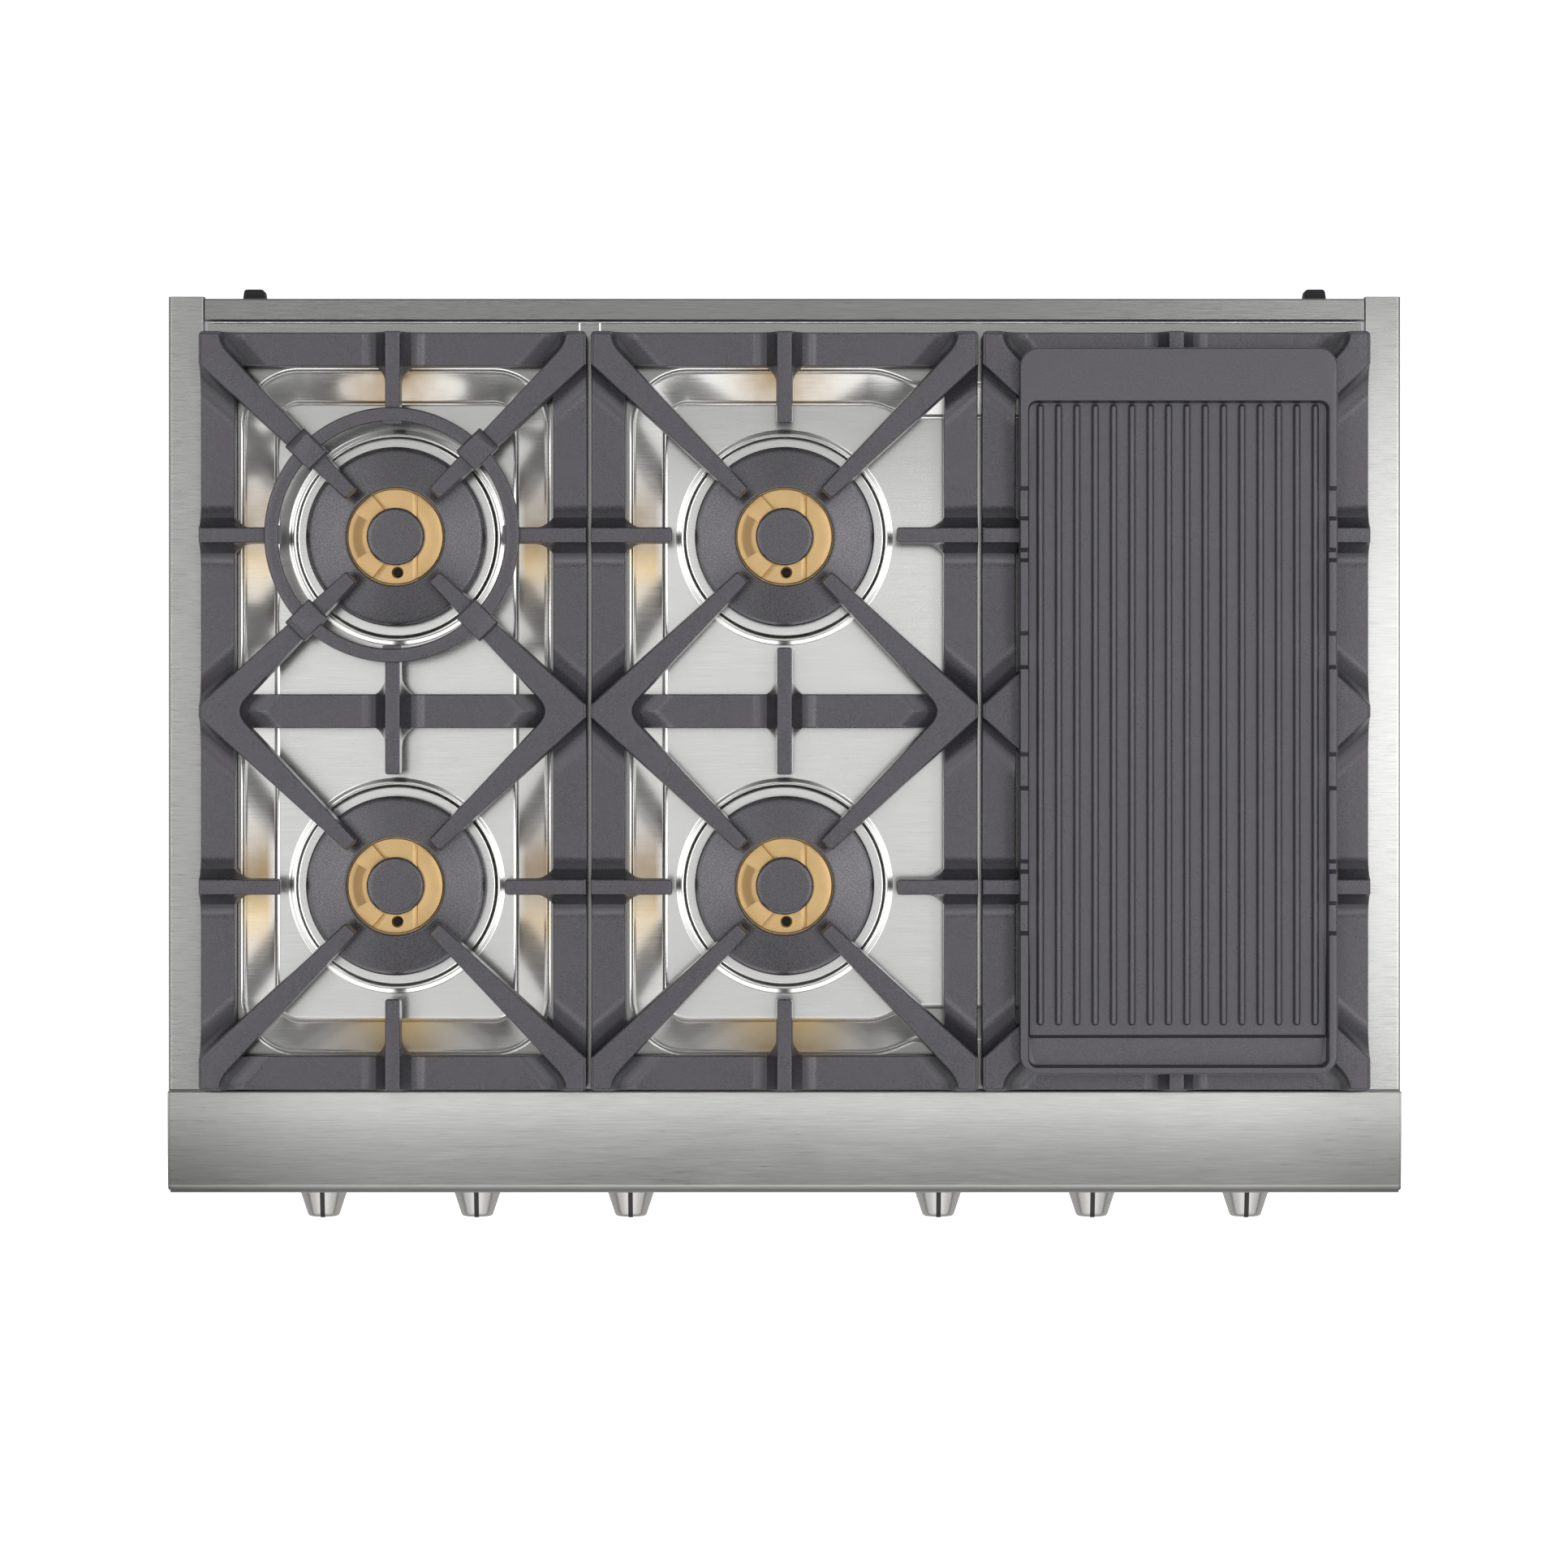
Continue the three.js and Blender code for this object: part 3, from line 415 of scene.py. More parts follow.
def pan_steel():
    """Pressed steel: brushed where it is level, satin on its slopes, heat-tinted near the burners. Painted
    shade darkens its flange and the rear of its floor.
    """
    look = Look("pan_steel", (0.7, 0.7, 0.69), 0.2, 1.0)
    streaks = look.noise(1.0, 3.0, 0.65, look.scaled((26, 1300, 0)))
    x, y, z = look.parts(look.coords)
    upright = look.upright()
    slope = look.remap(upright, 0.998, 0.985, 0, 1)
    level = look.between(streaks, (0.77, 0.77, 0.76), (0.85, 0.85, 0.84))
    # Painted shade: the level floor darkens towards the rear.
    level = look.mix(look.remap(y, 0.15, 0.24, 0, 0.30), level, (0, 0, 0))
    # Painted shade: the flange gets a darker tone than the floor.
    shaded_flange = look.between(streaks, (0.30, 0.30, 0.295), (0.38, 0.38, 0.37))
    level = look.mix(look.remap(z, PAN_TOP_Z - 0.0008, PAN_TOP_Z - 0.0004, 0, 1), level, shaded_flange)
    offset = BURNER_OFFSET * MM
    across = look.math("PINGPONG", x, COLUMN_PITCH / 2 * MM)
    along = look.math("SUBTRACT", y, BURNER_FRONT * MM)
    reach = look.math("PINGPONG", along, offset)
    wave = look.math("PINGPONG", look.total(along, offset / 2), offset)
    behind = look.remap(wave, 0.3 * offset, 0.5 * offset, 0, 1)
    beyond = look.remap(look.math("MAXIMUM", across, reach), 0.090, 0.096, 0, 1)
    crossing = look.hill(look.math("MINIMUM", across, reach), 0.008, 0.034)
    blotch = look.remap(look.noise(22.0, 3.0, 0.5), 0.35, 0.65, 0.55, 1.0)
    tint = look.product(slope, beyond, crossing, blotch)
    satin = look.between(streaks, (0.80, 0.795, 0.78), (0.92, 0.915, 0.90))
    satin = look.mix(tint, satin, look.mix(behind, (0.95, 0.67, 0.27), (0.40, 0.29, 0.16)))
    look.base(look.mix(slope, level, satin))
    brushed = look.remap(streaks, 0.3, 0.7, 0.15, 0.19)
    gloss = look.remap(streaks, 0.3, 0.7, 0.15, 0.22)
    look.rough(look.total(brushed, look.product(slope, look.math("SUBTRACT", gloss, brushed))))
    look.set(look.shader, "Metallic", look.rest(look.product(slope, beyond, 0.2)))
    look.bump(streaks, 0.02, 0.0001)
    return look.material


def cast_iron(name, tone, roughness, sparkle, ior=1.75, pebble=1.0):
    """Enamelled cast iron: grainy grey with a faint violet cast, fine bright flecks and a pebbled skin."""
    look = Look(name, tone, roughness, 0.0, IOR=ior, Specular_Tint=(0.97, 0.94, 1.0, 1.0))
    grain = look.noise(900.0, 2.0, 0.6)
    fleck = look.noise(1500.0, 1.0, 0.5)
    patch = look.noise(38.0, 3.0, 0.55)
    base = look.between(grain, shade(tone, 0.72), shade(tone, 1.28), 0.33, 0.67)
    violet = (tone[0] * 1.12, tone[1] * 0.90, tone[2] * 1.30)
    base = look.mix(look.remap(patch, 0.52, 0.72, 0, 0.5), base, violet)
    base = look.mix(look.remap(fleck, 0.56, 0.72, 0, sparkle), base, shade(tone, 2.6))
    look.base(base)
    fine = look.remap(grain, 0.3, 0.7, -0.06, 0.06)
    spread = 0.03 * pebble
    look.rough(look.total(fine, look.remap(patch, 0.3, 0.7, roughness - spread, roughness + spread)))
    look.bump(look.total(grain, look.product(look.noise(260.0, 2.0), 1.6 * pebble)), 0.14, 0.0004)
    return look.material


def turned_metal(name, tone, roughness, axes="XY", rings=1500.0, depth=0.06):
    """Metal turned on a lathe: fine rings about the piece's own axis."""
    look = Look(name, tone, roughness, 1.0)
    combined = look.nodes.new("ShaderNodeCombineXYZ")
    look.set(combined, "X", look.product(look.radius(axes), rings))
    fine = look.noise(1.0, 2.0, 0.6, combined.outputs[0])
    blotch = look.noise(70.0, 3.0, 0.6)
    look.base(look.mix(look.product(look.total(fine, blotch), 0.5), shade(tone, 0.90), shade(tone, 1.08)))
    gloss = look.remap(blotch, 0.3, 0.7, roughness - 0.04, roughness + 0.05)
    look.rough(look.total(look.remap(fine, 0.3, 0.7, -0.04, 0.04), gloss))
    look.bump(fine, depth, 0.0001)
    return look.material


def burner_brass():
    """Cast brass with a satin skin. The low sector on the left of the ring is darker, most of all in its
    middle band.
    """
    tone = (0.62, 0.425, 0.205)
    look = Look("burner_brass", tone, 0.36, 1.0)
    x, y, _ = look.parts(look.coords)
    blotch = look.noise(60.0, 3.0, 0.6)
    grain = look.noise(900.0, 2.0, 0.6)
    both = look.total(look.product(blotch, 0.6), look.product(grain, 0.4))
    base = look.between(both, shade(tone, 0.93), shade(tone, 1.06), 0.35, 0.65)
    spread = look.math("SUBTRACT", look.product(x, -0.577), look.math("ABSOLUTE", y))
    sector = look.remap(spread, 0.0, 0.0004, 0, 1)
    radius = look.radius()
    past_inner = look.remap(radius, 0.0238, 0.0252, 0, 1)
    middle = look.product(past_inner, look.remap(radius, 0.0325, 0.0308, 0, 1))
    darker_sector = look.product(sector, look.total(look.product(middle, 0.55), 0.32))
    look.base(look.mix(darker_sector, base, (0.30, 0.19, 0.085)))
    look.rough(look.remap(both, 0.3, 0.7, 0.31, 0.42))
    look.bump(grain, 0.05, 0.0002)
    return look.material


def plain(name, tone, roughness, metallic=0.0, grain=600.0, depth=0.1):
    """Moulded, cast or galvanised stuff with a faint mottle."""
    look = Look(name, tone, roughness, metallic)
    mottle = look.noise(grain, 3.0, 0.6)
    broad = look.noise(22.0, 3.0, 0.6)
    both = look.total(look.product(mottle, 0.5), look.product(broad, 0.5))
    look.base(look.between(both, shade(tone, 0.82), shade(tone, 1.18), 0.35, 0.65))
    look.rough(look.remap(both, 0.3, 0.7, roughness - 0.08, roughness + 0.08))
    look.bump(mottle, depth, 0.0002)
    return look.material


BURNER_REAR, BURNER_FRONT = (Span("inner_cap_centre_" + row).y for row in ROWS)
BURNER_OFFSET = (BURNER_REAR - BURNER_FRONT) / 2
COLUMN_PITCH = Span("inner_cap_centre_rear").x - Span("inner_cap_left_rear").x
PAN_TOP_Z = Span("left_pan").z1 * MM


def rail_painted_shade(loss):
    """Painted shade: both ends of a rail darker than its middle."""
    return lambda look, x, y, z: look.rest(look.product(y, y, loss))


def trim_painted_light(look, x, y, z):
    """Painted light: the rear trim is brighter towards the right."""
    return look.remap(x, 0.15, 0.40, 0.76, 1.0)


def nose_painted_shade(look, x, y, z):
    """Painted shade: the bullnose is darker towards the front, where it curves down, and at its ends."""
    span = Span("bullnose")
    ahead = look.remap(y, span.y0 * MM, span.y1 * MM - 0.012, 0.48, 1.0)
    left = look.rest(look.product(look.hill(x, -0.47, 0.10), 0.42))
    right = look.rest(look.product(look.hill(x, 0.47, 0.08), 0.22))
    return look.product(ahead, left, right)


# Painted light and shade: the left rail gets a much darker tone than the right one, and both have shaded
# ends.
RAIL_LOOKS = {-1: brushed_steel("left_rail_steel_painted_shade", (0.385, 0.385, 0.377), 0.28, 0.08, rail_painted_shade(1.9)),
              1: brushed_steel("right_rail_steel_painted_light", (0.78, 0.78, 0.765), 0.28, 0.06, rail_painted_shade(5.0))}
# Painted light: the rear trim's tone is lighter towards its right end.
TRIM_STEEL = brushed_steel("trim_steel_painted_light", (0.31, 0.31, 0.305), 0.28, 0.07, trim_painted_light)
# Painted shade: the bullnose's tone is darker towards its front and its ends.
NOSE_STEEL = brushed_steel("nose_steel_painted_shade", (0.62, 0.62, 0.605), 0.30, 0.05, nose_painted_shade)
PANEL_STEEL = brushed_steel("panel_steel", (0.58, 0.58, 0.565), 0.28)
PAN_STEEL = pan_steel()
STRIP_STEEL = brushed_steel("strip_steel", (0.34, 0.34, 0.335), 0.18, 0.05)
BEAD_STEEL = plain("bead_steel", (0.93, 0.93, 0.92), 0.22, 1.0, 300.0, 0.03)
IRON = cast_iron("cast_iron", (0.025, 0.024, 0.0272), 0.30, 1.0, 1.82)
GRIDDLE_IRON = cast_iron("griddle_iron", (0.030, 0.0288, 0.033), 0.34, 0.9, 1.8)
ENAMEL = cast_iron("cap_enamel", (0.013, 0.0124, 0.0142), 0.27, 0.9, 2.0, 0.25)
BRASS = burner_brass()
BRASS_PLAIN = plain("stem_brass", (0.62, 0.43, 0.21), 0.35, 1.0)
KNOB_STEEL = turned_metal("knob_steel", (0.50, 0.49, 0.47), 0.22, "XZ")
BEZEL_STEEL = turned_metal("bezel_steel", (0.60, 0.60, 0.59), 0.2, "XZ")
ALUMINIUM = plain("cast_aluminium", (0.50, 0.51, 0.52), 0.45, 1.0)
GALVANISED = plain("galvanised_sheet", (0.46, 0.47, 0.48), 0.42, 0.9, 300.0, 0.06)
RUBBER = plain("bumper_rubber", (0.010, 0.010, 0.011), 0.62)
BLACK = plain("black_mark", (0.010, 0.010, 0.010), 0.45)
PLASTIC = plain("module_plastic", (0.03, 0.03, 0.034), 0.55)
CERAMIC = plain("igniter_ceramic", (0.008, 0.007, 0.006), 0.8)

# ---------------------------------------------------------------- planar meshes
def nearest(points, outlines):
    """Distance in plan from each point to the nearest edge of the outlines."""
    best = np.full(len(points), 1e9)
    for outline in outlines:
        a = np.array(outline, float)
        edge = np.roll(a, -1, axis=0) - a
        along = ((points[:, None] - a) * edge).sum(-1) / np.maximum((edge * edge).sum(-1), 1e-12)
        foot = a + np.clip(along, 0, 1)[..., None] * edge
        best = np.minimum(best, np.linalg.norm(points[:, None] - foot, axis=-1).min(axis=1))
    return best


def inside(points, outline):
    """Which points lie inside a closed outline."""
    a = np.array(outline, float)
    b = np.roll(a, -1, axis=0)
    x, y = points[:, 0, None], points[:, 1, None]
    spans = (a[:, 1] > y) != (b[:, 1] > y)
    rise = np.where(np.abs(b[:, 1] - a[:, 1]) < 1e-12, 1e-12, b[:, 1] - a[:, 1])
    crossing = a[:, 0] + (b[:, 0] - a[:, 0]) * (y - a[:, 1]) / rise
    return (spans & (x < crossing)).sum(axis=1) % 2 == 1


def triangles(rings, lines=(), extra=()):
    """Triangles in plan that keep every edge of the rings and of the open lines."""
    points, edges = [], []
    for path, closed in [(ring, True) for ring in rings] + [(line, False) for line in lines]:
        base = len(points)
        points += [Vector(p) for p in path]
        edges += [(base + i, base + i + 1) for i in range(len(path) - 1)]
        if closed:
            edges.append((base + len(path) - 1, base))
    points += [Vector(p) for p in extra]
    made = delaunay_2d_cdt(points, edges, [], 0, 1e-4)
    return np.array([tuple(v) for v in made[0]]), [tuple(f) for f in made[2]]


def compact(points, faces):
    """Leaves out the points that no face uses."""
    used = sorted({i for face in faces for i in face})
    renumber = {old: new for new, old in enumerate(used)}
    return points[used], [tuple(renumber[i] for i in face) for face in faces]


def in_region(points, faces, outer, holes=()):
    """The faces whose middle is inside the outer outline and outside the holes."""
    middles = np.array([points[list(face)].mean(axis=0) for face in faces])
    keep = inside(middles, outer)
    for hole in holes:
        keep &= ~inside(middles, hole)
    return [face for face, kept in zip(faces, keep) if kept]


def sheet(shell, outer, holes, height, look=0):
    """A level sheet with holes, to be welded to its neighbours."""
    points, faces = triangles([outer, *holes])
    faces = in_region(points, faces, outer, holes)
    shell.add([(x, y, height) for x, y in points], faces, look)


def relief(shell, points, faces, tops, bottom, look=0):
    """A closed body from a plan mesh: tops gives the height of each point, and the underside is level."""
    count = len(points)
    solid = [(x, y, z) for (x, y), z in zip(points, tops)] + [(x, y, bottom) for x, y in points]
    sides = {}
    for face in faces:
        for a, b in zip(face, face[1:] + face[:1]):
            sides[(a, b)] = sides.get((b, a), 0) + 1
    rim = [(a, b) for a, b in sides if (b, a) not in sides]
    walls = [(b, a, count + a, count + b) for a, b in rim]
    floor = [tuple(count + i for i in reversed(face)) for face in faces]
    shell.add(solid, faces + walls + floor, look)


def rounding(distance, radius):
    """How far a rounded edge has dropped at a distance in from the side."""
    inner = np.clip(radius - distance, 0, radius)
    return radius - np.sqrt(radius * radius - inner * inner)


# ---------------------------------------------------------------- grates
GRATE = Span("grate_centre")
HALF_W = (GRATE.x1 - GRATE.x0) / 2
HALF_D = (GRATE.y1 - GRATE.y0) / 2
FINGER_TOP = GRATE.z1
FINGER_DEPTH = 15
FINGER_BOTTOM = FINGER_TOP - FINGER_DEPTH
BAR_TOP = FINGER_TOP - 18
BAR_BOTTOM = FINGER_TOP - 37
FOOT_BOTTOM = GRATE.z0
BAR = 24.8
CROSS_HALF = 12.4
FINGER_HALF = 5.35
STRAIGHT_TIP = 82.4
DIAGONAL_TIP = 43.5
DIAGONAL_HALF = 5.15
PAD_TURN = 7
PAD_WIDTH = 14.6
INNER_SLOPE = math.tan(math.radians(46.7))
OUTER_SLOPE = math.tan(math.radians(42.5))
ROOT_RADIUS = 19
LEAN = 1.5
EDGE = 0.95
SIDE_DRAFT = 0.9
SQRT_HALF = math.sqrt(0.5)


def bend(a, corner, b, steps):
    """A curve from a to b that heads for the corner at both ends."""
    return [tuple((1 - t) ** 2 * np.array(a) + 2 * t * (1 - t) * np.array(corner) + t * t * np.array(b))
            for t in np.linspace(0, 1, steps + 1)]


def corner_plan(side_x, end_y):
    """The finger over a burner's corner and its pad, in the quarter with positive x and y."""
    along, step = DIAGONAL_TIP * SQRT_HALF, DIAGONAL_HALF * SQRT_HALF
    inner = (along - step, BURNER_OFFSET + along + step)
    outer = (along + step, BURNER_OFFSET + along - step)
    pad = HALF_W - PAD_WIDTH

    def inner_y(x):
        return inner[1] + (x - inner[0]) * INNER_SLOPE

    side_y = outer[1] + (side_x - outer[0]) * OUTER_SLOPE
    turn = bend((pad - PAD_TURN, inner_y(pad - PAD_TURN)), (pad, inner_y(pad)), (pad, inner_y(pad) + 8), 5)
    return [outer, (side_x, side_y), (side_x, end_y), (pad, end_y), *turn[::-1], inner]


def middle_plan(side_x):
    """The two diagonal fingers that meet in a V at the middle of the right side."""
    along, step = DIAGONAL_TIP * SQRT_HALF, DIAGONAL_HALF * SQRT_HALF
    inner = (along - step, BURNER_OFFSET - along - step)
    outer = (along + step, BURNER_OFFSET - along + step)
    vertex = inner[0] + inner[1] / INNER_SLOPE
    fall = (outer[1] - 4.2) / (HALF_W - outer[0])
    side_y = outer[1] - (side_x - outer[0]) * fall
    turn = 9
    bent = bend((vertex - turn, -turn * INNER_SLOPE), (vertex, 0), (vertex - turn, turn * INNER_SLOPE), 8)
    return [(inner[0], -inner[1]), (outer[0], -outer[1]), (side_x, -side_y), (side_x, side_y), outer, inner,
            *bent[::-1]]


def mirrored(outline, sx, sy):
    return anticlockwise([(sx * x, sy * y) for x, y in outline])


def pad_plans(side_x, end_y):
    plans = [mirrored(middle_plan(side_x), sx, 1) for sx in (-1, 1)]
    plans += [mirrored(corner_plan(side_x, end_y), sx, sy) for sx in (-1, 1) for sy in (-1, 1)]
    return plans


def straight_plans(past):
    """Plans of the straight fingers, run past the outer faces of the bars."""
    plans = [rounded_rectangle(-FINGER_HALF, FINGER_HALF, -(BURNER_OFFSET - STRAIGHT_TIP),
                               BURNER_OFFSET - STRAIGHT_TIP, 1, 1)]
    for s in (-1, 1):
        y0, y1 = sorted((s * (BURNER_OFFSET + STRAIGHT_TIP), s * (HALF_D + past)))
        plans.append(rounded_rectangle(-FINGER_HALF, FINGER_HALF, y0, y1, 1, 1))
        for end in (-1, 1):
            x0, x1 = sorted((s * STRAIGHT_TIP, s * (HALF_W + past)))
            y = end * BURNER_OFFSET
            plans.append(rounded_rectangle(x0, x1, y - FINGER_HALF, y + FINGER_HALF, 1, 1))
    return plans


def swell(gap):
    """How high the bar has risen at a distance from a finger: a quarter round that is hollow."""
    reach = np.clip(ROOT_RADIUS - gap, 0, ROOT_RADIUS)
    return ROOT_RADIUS - np.sqrt(ROOT_RADIUS ** 2 - reach ** 2)


def swell_reach(rise):
    """The distance from a finger at which the bar has risen this much."""
    left = ROOT_RADIUS - min(rise, ROOT_RADIUS)
    return ROOT_RADIUS - math.sqrt(ROOT_RADIUS ** 2 - left ** 2)


def lean(z):
    """How far the outer faces of the pads lean in at a height."""
    return LEAN * min(1.0, max(0.0, (z - BAR_TOP) / (FINGER_TOP - BAR_TOP)))


def grate_frame(shell):
    """Perimeter and cross bar, whose tops rise in hollow curves to the fingers."""
    outer = rounded_rectangle(-HALF_W, HALF_W, -HALF_D, HALF_D, 3.5, 5)
    holes = []
    for sy in (-1, 1):
        y0, y1 = sorted((sy * CROSS_HALF, sy * (HALF_D - BAR)))
        holes.append(rounded_rectangle(-HALF_W + BAR, HALF_W - BAR, y0, y1, 6, 5))
    insets = (0, EDGE * 0.12, EDGE * 0.45, EDGE)
    rings = [grow(outer, -e) for e in insets] + [grow(hole, e) for hole in holes for e in insets]
    past = 14
    plans = pad_plans(HALF_W + past / 4, HALF_D + past) + straight_plans(past)
    steps = (0, 0.5, 1.5, 3, 5, 7, 9, 11, 13, 15, 17, 19)
    contours = [grow(plan, d) for plan in plans for d in steps]
    pocket = [(s * x, y) for s in (-1, 1) for x in np.arange(88, 117, 2.1) for y in np.arange(-11, 12, 2.2)]
    points, faces = triangles(rings + contours, extra=pocket)
    points, faces = compact(points, in_region(points, faces, outer, holes))
    gap = nearest(points, plans)
    for plan in plans:
        gap[inside(points, plan)] = 0
    tops = BAR_TOP + np.minimum(swell(gap), FINGER_TOP - BAR_TOP - 0.7)
    tops -= rounding(nearest(points, [outer, *holes]), EDGE)
    relief(shell, points, faces, tops, BAR_BOTTOM)


def grate_pad(shell, plan):
    """A diagonal finger with its pad: slightly drafted sides and rounded top edges."""
    plan = soften(plan, 1.7, 3)
    levels = [(FINGER_BOTTOM, 0.2), (FINGER_BOTTOM + 0.4, 0.9), (FINGER_BOTTOM + 1.2, SIDE_DRAFT)]
    levels += [(FINGER_TOP - EDGE, 0), (FINGER_TOP - EDGE * 0.55, -EDGE * 0.12)]
    levels += [(FINGER_TOP - EDGE * 0.12, -EDGE * 0.55), (FINGER_TOP, -EDGE)]
    loops = []
    for z, out in levels:
        grown = grow(plan, out)
        wall_x, wall_y = (half - 0.04 + min(out, 0) - lean(z) for half in (HALF_W, HALF_D))
        loops.append([(max(-wall_x, min(wall_x, x)), max(-wall_y, min(wall_y, y)), z) for x, y in grown])
    shell.loft(loops)


def finger_section(reach, bar, s):
    """Half of a straight finger's section at s from its bar's outer face. The bar ends at bar."""
    left = reach - s
    top = FINGER_TOP - rounding(left, EDGE)
    slope = min(1.0, max(0.0, (s - bar) / 14))
    bottom = BAR_BOTTOM + 0.4 + (FINGER_BOTTOM - BAR_BOTTOM - 0.4) * slope
    bottom += max(0.0, s - (reach - 4))
    blend = max(0.0, 1 - max(0.0, s - bar) / 12) ** 2
    pinch = rounding(left, 2.0)
    section = []
    shares = [0, 0.07, 0.2, 0.36, 0.5, 0.63, 0.76, 0.88]
    shares += [1 - EDGE * part / FINGER_DEPTH for part in (1, 0.5, 0.12, 0)]
    for share in shares:
        z = bottom + (top - bottom) * share
        depth = FINGER_TOP - z
        half = FINGER_HALF + SIDE_DRAFT * min(1.0, max(0.0, depth - EDGE) / 14)
        half -= rounding(max(top - z, 0.0), EDGE)
        half += blend * min(7.0, swell_reach(max(0.0, z - BAR_TOP)))
        if share == 0:
            half -= 1.1
        section.append((max(0.4, half - pinch), z))
    return section


def straight_finger(shell, reach, bar, place, both_ways=False):
    """A straight finger. place turns (along, across, height) into a point of the grate."""
    ends = [reach - gap for gap in (6, 3.2, 2, 1.3, 0.8, 0.4, 0.12, 0)]
    roots = [bar + step for step in (0, 1.5, 3, 4.5, 6, 8, 10, 12, 14)]
    stations = roots + ends
    if both_ways:
        stations = [-s for s in reversed(stations)] + [0] + stations
    else:
        stations = [0.04] + stations
    loops = []
    for s in stations:
        half = finger_section(reach, bar, abs(s))
        ring = [(w, z) for w, z in half] + [(-w, z) for w, z in reversed(half)]
        loops.append([place(s, w, z) for w, z in ring])
    shell.loft(loops)


def grate_shell():
    shell = Shell()
    grate_frame(shell)
    for plan in pad_plans(HALF_W, HALF_D):
        grate_pad(shell, plan)
    for sx in (-1, 1):
        for sy in (-1, 1):
            straight_finger(shell, HALF_W - STRAIGHT_TIP, BAR,
                            lambda s, w, z: (sx * (HALF_W - max(s, lean(z))), sy * BURNER_OFFSET + w, z))
            foot = rounded_rectangle(-6, 6, -6, 6, 2, 4)
            spot = [(sx * (HALF_W - 14) + x, sy * (HALF_D - 14) + y) for x, y in foot]
            shell.slab(spot, FOOT_BOTTOM, BAR_BOTTOM + 2, 0.5)
    for sy in (-1, 1):
        straight_finger(shell, HALF_D - BURNER_OFFSET - STRAIGHT_TIP, BAR,
                        lambda s, w, z: (w, sy * (HALF_D - max(s, lean(z))), z))
    straight_finger(shell, BURNER_OFFSET - STRAIGHT_TIP, CROSS_HALF, lambda s, w, z: (w, s, z), True)
    return shell


def add_grates():
    mesh = make_mesh("iron_grate_left", grate_shell(), [IRON])
    for column in COLUMNS:
        node = "grate_" + column
        span = Span(node)
        place_mesh("iron_" + node, mesh, "cast_iron", [node], node, (span.x, span.y, 0), 38)


# ---------------------------------------------------------------- griddle plate
def rim_loop(x0, x1, y0, y1, radius, stations):
    """A rounded rectangle with further points at the given places along its two long sides."""
    lower, upper = y0 + radius, y1 - radius
    picked = [min(max(s, lower + 0.01), upper - 0.01) for s in stations]
    right = arc((x1 - radius, y0 + radius), radius, -90, 0, 8) + [(x1, s) for s in picked]
    right += arc((x1 - radius, y1 - radius), radius, 0, 90, 8)
    left = arc((x0 + radius, y1 - radius), radius, 90, 180, 8) + [(x0, s) for s in reversed(picked)]
    left += arc((x0 + radius, y0 + radius), radius, 180, 270, 8)
    return right + left


def griddle_ridges(shell, middle_x, floor):
    """Narrow ridges with domed tops, run from front to back."""
    count, pitch, half = 16, 13.4, 2.4
    front, back = -206, 248
    dome = [(-0.4, 0.35), (0.5, 0.05), (4.2, -0.15), (5.0, -0.45), (5.5, -0.9), (5.78, -1.5)]
    dome += [(5.96, -2.1), (6, -2.35)]
    for i in range(count):
        x = middle_x + (i - (count - 1) / 2) * pitch
        plan = arc((x, front + half), half, 180, 360, 10) + arc((x, back - half), half, 0, 180, 10)
        shell.stack(plan, [(floor + h, out) for h, out in dome])


